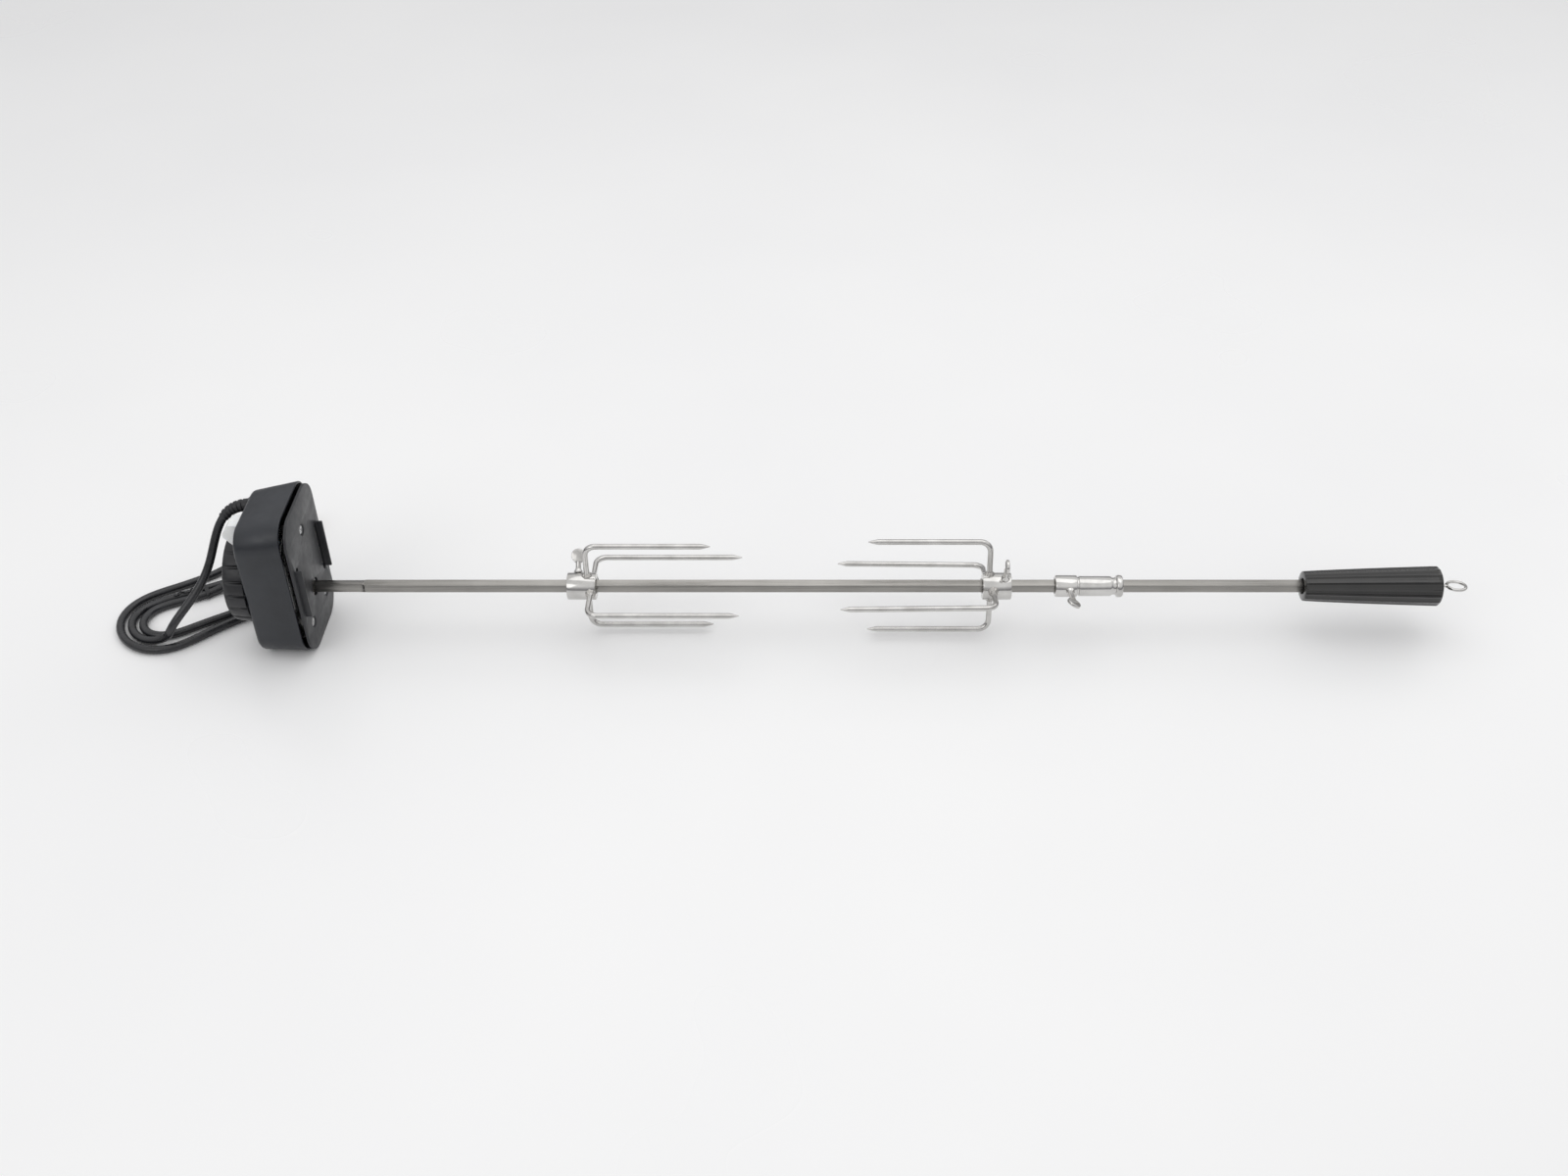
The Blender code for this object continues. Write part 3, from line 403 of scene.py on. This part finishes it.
def curve_piece(name, points, radius, material, body, nodes=(), resolution=5):
    data = bpy.data.curves.new(name, "CURVE")
    data.dimensions = "3D"
    data.bevel_depth = radius * MM
    data.bevel_resolution = resolution
    data.use_fill_caps = True
    spline = data.splines.new("POLY")
    spline.points.add(len(points) - 1)
    for knot, point in zip(spline.points, points):
        knot.co = (*point, 1.0)
    spline.use_smooth = True
    obj = bpy.data.objects.new(name, data)
    bpy.context.scene.collection.objects.link(obj)
    data.materials.append(material)
    settle(obj, body, nodes)
    return obj


def smooth_path(route, spacing, passes=0):
    """Points an even distance apart on a smooth curve through the route."""
    ends = [route[0] * 2 - route[1]] + list(route) + [route[-1] * 2 - route[-2]]
    path = []
    for a, b, c, d in zip(ends, ends[1:], ends[2:], ends[3:]):
        t1 = (b - a).length ** 0.5
        t2 = t1 + (c - b).length ** 0.5
        t3 = t2 + (d - c).length ** 0.5
        for k in range(12):
            t = t1 + (t2 - t1) * k / 12
            ab, bc, cd = a.lerp(b, t / t1), b.lerp(c, (t - t1) / (t2 - t1)), c.lerp(d, (t - t2) / (t3 - t2))
            abc, bcd = ab.lerp(bc, t / t2), bc.lerp(cd, (t - t1) / (t3 - t1))
            path.append(abc.lerp(bcd, (t - t1) / (t2 - t1)))
    path.append(route[-1])
    path = even_path(path, spacing)
    for _ in range(passes):
        path = [path[0]] + [
            (a + b * 2 + c) / 4 for a, b, c in zip(path, path[1:], path[2:])
        ] + [path[-1]]
    return even_path(path, spacing)


def even_path(path, spacing):
    total = sum((b - a).length for a, b in zip(path, path[1:]))
    count = max(2, round(total / (spacing * MM)))
    step = total / count
    even, left = [path[0]], step
    for a, b in zip(path, path[1:]):
        length = (b - a).length
        gone = 0.0
        while length - gone >= left - 1e-12 and len(even) < count:
            gone += left
            even.append(a.lerp(b, gone / length))
            left = step
        left -= length - gone
    return even + [path[-1]]


# ---------------------------------------------------------------- cord
HANK_AT = (-128.0, 9.0)  # station and across of the left fold's centre
HANK_LONG = Vector((0.857, 0.515))  # direction of the hank on the surface
HANK_WIDE = Vector((-0.515, 0.857))
PLUG_AT_UV = (78.0, 45.0, 9.2)


def on_hank(u, v, height=CORD_REST):
    """A point at u along the hank and v across it, at a height above the table."""
    spot = Vector(HANK_AT) + HANK_LONG * u + HANK_WIDE * v
    return at(spot.x, spot.y, height - AXIS_HEIGHT)


# The lead's descent leans up to 10 mm nearer the viewer than its CAD solid.
LEAD_ROUTE = [
    (-38.0, 23.0, 62.0), (-50.0, 23.0, 62.0), (-58.0, 21.6, 60.0), (-65.0, 18.6, 54.6), (-70.0, 15.0, 46.8),
    (-73.6, 11.6, 38.0), (-77.0, 8.0, 28.2), (-81.0, 3.6, 17.4), (-86.4, -2.4, 7.2), (-92.8, -9.2, -1.6),
    (-99.8, -16.0, -9.2), (-106.8, -21.6, -16.6), (-112.6, -24.6, -24.4),
]
LOW, OVER = CORD_REST, 3 * CORD_R + 0.55
HANK_ROUTE = [
    (-7.5, -30.0, 9.0), (-17.5, -24.0, 5.0), (-25.5, -14, LOW), (-28.6, -1, LOW), (-25.5, 13, LOW),
    (-15.5, 22, LOW), (1, 25, LOW), (17, 24.2, LOW), (32, 23.4, LOW), (46, 23, LOW),
    (57.9, 21.8, LOW), (67.2, 16.4, LOW), (72.6, 7.1, LOW), (72.6, -3.7, LOW), (67.2, -13, LOW),
    (57.9, -18.6, LOW), (46, -20, LOW), (28, -20.5, LOW), (12, -21.6, LOW), (-0.5, -21.8, LOW),
    (-13.4, -17.1, LOW), (-20.2, -5.3, LOW), (-17.8, 8.2, LOW), (-7.3, 17.0, LOW), (5, 18.0, LOW),
    (18, 16.8, LOW), (32, 15.6, LOW), (46, 15.8, LOW + 1.2), (58, 16.6, LOW + 5.2), (71.1, 15.0, OVER + 0.3),
    (80.8, 9.5, OVER - 2.0), (86.5, -0.2, LOW + 1.0), (86.5, -11.4, LOW), (80.8, -21.1, LOW),
    (71.1, -26.8, LOW), (60, -28.9, LOW), (48, -29.8, LOW), (34, -31.5, LOW), (20, -34.4, LOW),
    (8, -37.0, LOW), (-4, -38.3, LOW), (-16, -35.8, LOW), (-27, -28.0, LOW), (-34.6, -15.5, LOW),
    (-37.3, 0, LOW), (-34, 16, LOW), (-25, 28, LOW), (-12, 35, LOW), (3, 37.3, LOW), (17, 37.2, LOW),
    (32, 37.8, LOW), (47, 39.2, LOW), (60, 41.2, LOW + 1.6), (72, 43.6, LOW + 4.6), PLUG_AT_UV,
]


def add_cord():
    route = [at(*point) for point in LEAD_ROUTE] + [on_hank(*point) for point in HANK_ROUTE]
    path = smooth_path(route, 2.5, 6)
    lead = curve_piece("lead", path, CORD_R, JACKET, "motor_unit", ("cord_lead", "cord_hank"), 6)
    add_gland_sleeve(path)
    tie = add_twist_tie()
    plug = add_plug()


def add_gland_sleeve(path):
    """Flange and tapered, ribbed sleeve that carries the lead out of the shell."""
    bm = bmesh.new()
    spine, radii, gone = [], [], 0.0
    profile = [(0.0, 6.3), (2.6, 6.3), (3.0, 5.7), (3.4, 5.1)]
    for rib in range(6):
        start = 5.0 + rib * 3.4
        shrink = rib * 0.14
        profile += [(start, 5.0 - shrink), (start + 1.9, 4.95 - shrink), (start + 2.2, 4.2 - shrink),
                    (start + 2.9, 4.2 - shrink)]
    profile += [(26.0, 4.1), (27.0, 3.7)]
    start = at(-41.8, 23.0, 62.0)
    fine = even_path([start] + [p for p in path if p.x < start.x - 0.5 * MM][:24], 0.5)
    lengths = [0.0]
    for a, b in zip(fine, fine[1:]):
        lengths.append(lengths[-1] + (b - a).length / MM)
    for reach, radius in profile:
        index = min(range(len(lengths)), key=lambda k: abs(lengths[k] - reach))
        spine.append(fine[index])
        radii.append(radius)
    skin(bm, tube_rings(spine, radii, 28))
    piece("gland_sleeve", bm, PLUG_BLACK, "motor_unit", "cord_gland")


def add_twist_tie():
    """Flat wire tie round the middle pair of runs, with a loose wavy tail along them."""
    points = []
    for k in range(40):
        turn = 2 * math.pi * k / 16
        u = 34.0 + 0.9 * k / 16
        points.append(on_hank(u, 19.4 + 8.4 * math.cos(turn), max(0.8, LOW + 0.4 + 4.2 * math.sin(turn))))
    for k in range(26):
        u = 36.5 - 1.05 * k
        v = 20.0 + 1.6 * math.sin(k * 0.75) + 0.12 * k
        points.append(on_hank(u, v, LOW + 4.6 + 0.7 * math.sin(k * 1.3)))
    path = smooth_path(points, 1.0)
    return curve_piece("wire_tie", path, 0.62, JACKET, "motor_unit", "twist_tie", 3)


def add_plug():
    """Moulded plug: ribbed relief, waisted body with finger grooves; the contacts are the CAD's own."""
    way = (HANK_LONG * 0.93 + HANK_WIDE * 0.37).normalized()
    way = Vector((way.x, way.y, 0.0))
    side = way.cross(Vector((0, 0, 1)))
    base = on_hank(*PLUG_AT_UV)
    matrix = mm_frame(base, way, side)
    relief = bmesh.new()
    profile = [(3.45, 0.5), (4.0, 1.0)]
    for rib in range(5):
        start = 2.0 + rib * 4.0
        grow = rib * 0.32
        profile += [(4.3 + grow, start), (4.4 + grow, start + 2.2), (3.7 + grow, start + 2.6),
                    (3.7 + grow, start + 3.6)]
    profile += [(5.9, 22.0), (5.9, 23.5)]
    turned(relief, profile, matrix, 40)
    made = [piece("plug_relief", relief, PLUG_BLACK, "motor_unit", "plug_strain_relief")]
    body = bmesh.new()
    rings = []
    for height, wide, deep in (
        (22.6, 5.0, 5.0), (23.0, 6.6, 6.2), (25.0, 8.4, 7.2), (28.0, 10.4, 7.8), (29.6, 10.6, 7.6),
        (31.0, 11.6, 8.0), (32.6, 11.4, 7.7), (34.0, 12.4, 8.2), (35.6, 12.2, 7.9), (37.0, 13.0, 8.4),
        (41.0, 13.7, 8.5), (48.6, 13.9, 8.5), (50.0, 13.5, 8.1), (50.3, 12.9, 7.6),
    ):
        ring = []
        for k in range(48):
            turn = 2 * math.pi * k / 48
            c, s = math.cos(turn), math.sin(turn)
            ring.append(matrix @ Vector((
                wide * math.copysign(abs(c) ** 0.55, c), deep * math.copysign(abs(s) ** 0.55, s), height,
            )))
        rings.append(ring)
    skin(body, rings)
    made.append(piece("plug_shell", body, PLUG_BLACK, "motor_unit", "plug_body"))
    return made + [NODES["plug_blade_1"], NODES["plug_blade_2"], NODES["plug_earth_pin"]]


# ---------------------------------------------------------------- forks
COLLAR_R, COLLAR_LONG, BORE_R = 10.75, 22.4, 6.0
TINE_RADIUS, WIRE_R, BEND_R = 38.1, 2.2, 8.5


def add_prong(name, angle, leg, tip, splay, body):
    """Wire prong with a drawn point, and the weld that holds its foot on the collar."""
    out = radial(angle)
    way = 1 if tip > leg else -1
    spine, radii = [], []
    foot = ((-0.4, 3.7), (0.1, 3.5), (0.8, 2.9), (1.6, 2.4), (2.8, WIRE_R))
    for past, radius in foot:
        spine.append(at(leg) + out * (COLLAR_R + past) * MM)
        radii.append(radius)
    for k in range(19):
        turn = math.radians(90 * k / 18)
        height = TINE_RADIUS - BEND_R * (1 - math.sin(turn))
        spine.append(at(leg + way * BEND_R * (1 - math.cos(turn))) + out * height * MM)
        radii.append(WIRE_R + 0.12 * math.sin(2 * turn))
    lift = math.tan(math.radians(splay))
    reach = abs(tip - leg) - BEND_R
    for k in range(1, 9):
        part = (reach - 8.5) * k / 8
        spine.append(at(leg + way * (BEND_R + part)) + out * (TINE_RADIUS + lift * part) * MM)
        radii.append(WIRE_R)
    for part, radius in ((-7.0, 2.05), (-5.0, 1.62), (-3.0, 1.12), (-1.2, 0.62), (-0.3, 0.34), (0.0, 0.12)):
        part += reach
        spine.append(at(leg + way * (BEND_R + part)) + out * (TINE_RADIUS + lift * part) * MM)
        radii.append(radius)
    bm = bmesh.new()
    skin(bm, tube_rings(spine, radii, 24))
    prong = piece(name, bm, CHROME, body, name, 60)
    weld = bmesh.new()
    matrix = mm_frame(at(leg), out, (1, 0, 0))
    rings = []
    for past, radius in ((-1.2, 4.3), (-0.2, 4.1), (0.5, 3.6), (1.1, 3.0), (1.7, 2.5), (1.9, 2.0)):
        rings.append([
            matrix @ Vector((
                (radius + 0.22 * math.sin(5 * t + angle)) * math.cos(t),
                (radius + 0.25 * math.cos(7 * t)) * math.sin(t),
                COLLAR_R + past + 0.18 * math.sin(9 * t),
            ))
            for t in (2 * math.pi * k / 40 for k in range(40))
        ])
    skin(weld, rings)
    piece(name + "_weld", weld, WELD, body, (), 60)
    return prong


def add_collar(side, low):
    """Turned collar, with its edges broken and a bore that clears the bar."""
    bm = bmesh.new()
    high = low + COLLAR_LONG
    profile = [
        (BORE_R, low + 0.4), (BORE_R + 0.4, low), (COLLAR_R - 0.7, low), (COLLAR_R - 0.2, low + 0.2),
        (COLLAR_R, low + 0.7), (COLLAR_R, high - 0.7), (COLLAR_R - 0.2, high - 0.2), (COLLAR_R - 0.7, high),
        (BORE_R + 0.4, high), (BORE_R, high - 0.4),
    ]
    turned(bm, profile, mm_frame(at(0), (1, 0, 0)), 96, closed=True)
    piece(f"collar_{side}", bm, CHROME, f"fork_{side}", f"fork_collar_{side}", 30)


def add_thumb_screw(name, station, angle, seat, head, paddle_turn, body):
    """Spade-head screw: threaded end, shoulder, neck that spreads into a flat paddle with pressed lines."""
    out = radial(angle)
    base = at(station)
    turn = math.radians(paddle_turn)
    normal = Vector((1, 0, 0)) * math.cos(turn) + out.cross(Vector((1, 0, 0))) * math.sin(turn)
    bm = bmesh.new()
    profile = [(1.2, 5.2), (1.6, 5.2)]
    thread = 6.0
    while thread < seat - 0.2:
        profile += [(2.02, thread), (2.35, thread + 0.25), (2.35, thread + 0.35), (2.02, thread + 0.6)]
        thread += 0.7
    profile += [(2.3, seat + 0.1), (3.3, seat + 0.15), (3.45, seat + 0.5), (3.3, seat + 1.3)]
    profile += [(2.4, seat + 2.3), (2.15, seat + 3.4), (2.1, head - 6.0), (2.3, head - 4.6)]
    turned(bm, profile, mm_frame(base, out), 32)
    side = out.cross(normal)
    matrix = mm_frame(base + out * head * MM, normal, out)
    rings = []
    for height, inset in ((-1.2, 0.45), (-1.05, 0.15), (-0.8, 0.0), (0.8, 0.0), (1.05, 0.15), (1.2, 0.45)):
        ring = []
        for k in range(72):
            t = 2 * math.pi * k / 72
            x, y = (5.6 - inset) * math.cos(t), (5.6 - inset) * math.sin(t)
            if x < -2.6:
                y *= 1.0 - 0.10 * min(1.0, (-2.6 - x) / 2.5)
                x -= 0.9 * min(1.0, (-2.6 - x) / 3.0)
            ring.append(matrix @ Vector((x, y, height)))
        rings.append(ring)
    skin(bm, rings)
    for face_side in (-1, 1):
        for line in range(-4, 5):
            offset = line * 1.12
            half = math.sqrt(4.7 ** 2 - offset ** 2) * 0.96
            slope = math.radians(38)
            rise = [Vector((offset, -half, 0)), Vector((offset, half, 0))]
            rise = [Matrix.Rotation(slope, 3, "Z") @ p for p in rise]
            along = (rise[1] - rise[0]).normalized()
            wide = Vector((-along.y, along.x, 0)) * 0.3
            loop = []
            for p, w in ((rise[0], -1), (rise[1], -1), (rise[1], 1), (rise[0], 1)):
                loop.append(p + wide * w)
            low = [matrix @ Vector((p.x, p.y, face_side * 1.15)) for p in loop]
            high = [matrix @ Vector((p.x * 0.98, p.y * 0.98, face_side * 1.42)) for p in
                    (rise[0] - wide * 0.3, rise[1] - wide * 0.3, rise[1] + wide * 0.3, rise[0] + wide * 0.3)]
            skin(bm, [low, high])
    piece(name + "_spade", bm, CHROME, body, name, 34)


def add_forks():
    add_collar("left", 198.4)
    add_collar("right", 523.6)
    for name, angle, leg, tip, splay in (
        ("left_front", 1.4, 217.0, 334.0, 0.0), ("left_top", 91.4, 214.0, 311.5, 0.0),
        ("left_back", 181.4, 217.0, 334.0, 0.0), ("left_low", 271.4, 214.0, 311.5, 0.0),
        ("right_front", 12.0, 531.5, 411.5, 1.2), ("right_top", 102.0, 529.0, 433.5, 0.0),
        ("right_back", 192.0, 527.5, 410.5, 1.2), ("right_low", 282.0, 530.0, 433.5, 0.0),
    ):
        add_prong("prong_" + name, angle, leg, tip, splay, "fork_" + name.split("_")[0])
    add_thumb_screw("thumb_screw_left", 206.4, 131.5, COLLAR_R, 24.0, 90.0, "clamp_screw_left")
    add_thumb_screw("thumb_screw_right", 541.0, 71.5, COLLAR_R, 27.0, 0.0, "clamp_screw_right")
    add_thumb_screw("thumb_screw_sleeve", 591.8, 11.5, 8.65, 29.0, 62.0, "clamp_screw_sleeve")


# ---------------------------------------------------------------- sleeve, handle and eye
def add_sleeve():
    profile = [
        (BORE_R, 580.9), (6.4, 580.5), (7.5, 580.5), (8.3, 580.9), (8.65, 581.8), (8.65, 596.9),
        (8.4, 597.5), (7.45, 597.9), (7.35, 598.3), (7.35, 599.0), (7.85, 599.3), (7.95, 599.7),
        (7.95, 623.6), (7.6, 624.6), (7.0, 625.3), (6.75, 626.2), (6.75, 627.2), (7.0, 628.0), (8.0, 628.5),
        (8.6, 629.1), (8.85, 630.0), (8.85, 631.6), (8.6, 632.6), (8.0, 633.3), (6.5, 633.4), (BORE_R, 633.0),
    ]
    bm = bmesh.new()
    turned(bm, profile, mm_frame(at(0), (1, 0, 0)), 96, closed=True)
    piece("turned_sleeve", bm, CHROME, "sleeve", "spit_sleeve", 30)


HANDLE_LEFT, HANDLE_RIGHT, HANDLE_FLUTES = 775.0, 881.0, 16
FLUTES_FROM, FLUTES_TO = 777.5, 877.0
NEAR_R, FAR_R = 12.0, 16.0
EYE_MIDDLE, EYE_R, EYE_WIRE = 896.2, 7.25, 1.25


def handle_ring(station, radius, flute):
    """Round outline with shallow lengthwise flutes between narrow lands."""
    ring = []
    for k in range(HANDLE_FLUTES * 12):
        turn = 2 * math.pi * k / (HANDLE_FLUTES * 12) + math.radians(4.0)
        phase = (k % 12) / 12
        depth = min(1.0, 1.25 * math.sin(math.pi * phase))
        r = radius - flute * depth
        ring.append(at(station) + radial(math.degrees(turn)) * r * MM)
    return ring


def add_handle():
    bm = bmesh.new()
    rings = [handle_ring(783.5, 6.15, 0.0), handle_ring(775.7, 6.2, 0.0), handle_ring(HANDLE_LEFT, 6.9, 0.0)]
    near_end = ((HANDLE_LEFT, 1.3, 0.0), (775.35, 0.45, 0.2), (776.2, 0.05, 0.45), (FLUTES_FROM, 0.0, 0.55))
    for station, inset, flute in near_end:
        rings.append(handle_ring(station, NEAR_R - inset, flute))
    for k in range(1, 10):
        share = k / 9
        station = FLUTES_FROM + share * (FLUTES_TO - FLUTES_FROM)
        cone = NEAR_R + (FAR_R - NEAR_R) * (station - HANDLE_LEFT) / (HANDLE_RIGHT - HANDLE_LEFT)
        bow = 0.25 * math.sin(math.pi * share)
        rings.append(handle_ring(station, cone + bow, 0.58 + 0.06 * share))
    far_end = ((879.2, 0.1, 0.5), (880.4, 0.55, 0.3), (880.9, 1.2, 0.12), (HANDLE_RIGHT, 2.2, 0.0))
    for station, inset, flute in far_end:
        rings.append(handle_ring(station, FAR_R - inset, flute))
    rings += [handle_ring(HANDLE_RIGHT, 3.4, 0.0), handle_ring(880.6, 3.0, 0.0), handle_ring(877.0, 3.0, 0.0)]
    skin(bm, rings)
    piece("fluted_handle", bm, GRIP_BLACK, "handle", "handle_grip", 42)


def add_eye():
    """Screw eye: stem into the handle and a bent ring whose end closes on the stem."""
    stem = [at(870.0 + 3.0 * k) for k in range(6)]
    centre = at(EYE_MIDDLE)
    up = Vector((0, 0.983, -0.182))
    ring = []
    for k in range(57):
        t = math.radians(180 + 335 * k / 56)
        ring.append(centre + Vector((math.cos(t), 0, 0)) * EYE_R * MM + up * math.sin(t) * EYE_R * MM)
    path = smooth_path(stem + ring, 0.8, 2)
    bm = bmesh.new()
    skin(bm, tube_rings(path, [EYE_WIRE] * len(path), 20))
    turned(bm, [(1.3, 880.2), (3.0, 880.3), (3.1, 880.9), (2.9, 881.4), (1.7, 881.7), (1.25, 882.0)],
           mm_frame(at(0), (1, 0, 0)), 40)
    piece("screw_eye", bm, CHROME, "handle", "hanging_eye", 50)


# ---------------------------------------------------------------- screws
def add_screw_head(name, matrix, radius, top, low, reach, body, node):
    """Cross-recess screw: dished head, cross cut into it, and its shank."""
    bm = bmesh.new()
    dome = ((0.35, -0.02), (0.75, -0.12), (0.93, -0.3), (1.0, -0.55))
    profile = [(radius * r, top + h) for r, h in dome]
    profile += [(radius, low + 0.2), (1.8, low - 1.2), (1.8, reach)]
    turned(bm, profile, matrix, 40)
    head = piece(name + "_head", bm, ZINC, body, node, 34)
    for index in range(2):
        slot = bmesh.new()
        bmesh.ops.create_cube(slot, size=1.0)
        bmesh.ops.scale(slot, vec=(radius * 1.15, 0.62, 1.5), verts=slot.verts)
        bmesh.ops.rotate(slot, cent=(0, 0, 0), matrix=Matrix.Rotation(math.radians(35 + 90 * index), 3, "Z"),
                         verts=slot.verts)
        bmesh.ops.translate(slot, vec=(0, 0, top), verts=slot.verts)
        bmesh.ops.transform(slot, matrix=matrix, verts=slot.verts)
        data = bpy.data.meshes.new("cut")
        slot.to_mesh(data)
        slot.free()
        cutter = bpy.data.objects.new("cut", data)
        bpy.context.scene.collection.objects.link(cutter)
        cut = head.modifiers.new("cross", "BOOLEAN")
        cut.object = cutter
        cut.solver = "EXACT"
        bake(head)
        bpy.data.objects.remove(cutter)


def bake(obj):
    """Applies a piece's modifiers."""
    graph = bpy.context.evaluated_depsgraph_get()
    done = bpy.data.meshes.new_from_object(obj.evaluated_get(graph))
    obj.modifiers.clear()
    obj.data = done


def add_screws():
    for index, (across, up) in enumerate(((0.0, 55.0), (19.8, -20.0), (-19.8, -20.0))):
        matrix = mm_frame(at(0, across, up), (1, 0, 0))
        add_screw_head(f"plate_screw_{index + 1}", matrix, 3.3, -0.9, -1.2, -15.0, "motor_unit",
                       f"plate_screw_{index + 1}")


# ---------------------------------------------------------------- room
def add_room():
    bm = bmesh.new()
    bmesh.ops.create_grid(bm, x_segments=1, y_segments=1, size=4.0)
    data = bpy.data.meshes.new("table")
    bm.to_mesh(data)
    bm.free()
    table = bpy.data.objects.new("table", data)
    data.materials.append(table_top())
    bpy.context.scene.collection.objects.link(table)
    world = bpy.data.worlds.new("studio")
    world.use_nodes = True
    tree = world.node_tree
    direction = tree.nodes.new("ShaderNodeTexCoord").outputs["Generated"]
    parts = tree.nodes.new("ShaderNodeSeparateXYZ")
    tree.links.new(direction, parts.inputs["Vector"])
    sky = tree.nodes.new("ShaderNodeValToRGB")
    for spot, grey in ((0.06, 0.30), (0.30, 0.55)):
        sky.color_ramp.elements.new(spot).color = (grey, grey, grey * 1.02, 1.0)
    sky.color_ramp.elements[0].color = (0.16, 0.16, 0.17, 1.0)
    sky.color_ramp.elements[-1].position = 0.55
    sky.color_ramp.elements[-1].color = (1.0, 1.0, 1.0, 1.0)
    tree.links.new(parts.outputs["Z"], sky.inputs["Fac"])
    tree.links.new(sky.outputs["Color"], tree.nodes["Background"].inputs["Color"])
    tree.nodes["Background"].inputs["Strength"].default_value = 0.88
    bpy.context.scene.world = world
    bpy.context.scene.view_settings.view_transform = "Standard"
    add_light("overhead", (0.1, 0.25, 1.5), (0.0, 0.0, 0.0), 1.9, 1.1, 4.5)
    add_light("front_left", (-1.3, -1.3, 1.2), (-0.1, 0.0, 0.05), 1.0, 1.0, 3.0)
    add_light("right_back", (1.4, 0.9, 0.9), (0.1, 0.0, 0.05), 0.8, 0.8, 1.0)


def add_light(name, place, target, wide, deep, power):
    data = bpy.data.lights.new(name, "AREA")
    data.shape = "RECTANGLE"
    data.size, data.size_y = wide, deep
    data.energy = power
    light = bpy.data.objects.new(name, data)
    light.location = place
    light.rotation_euler = (Vector(target) - Vector(place)).to_track_quat("-Z", "Y").to_euler()
    bpy.context.scene.collection.objects.link(light)


add_camera()
finish_cad_nodes()
add_cord()
add_forks()
add_sleeve()
add_handle()
add_eye()
add_screws()
add_room()
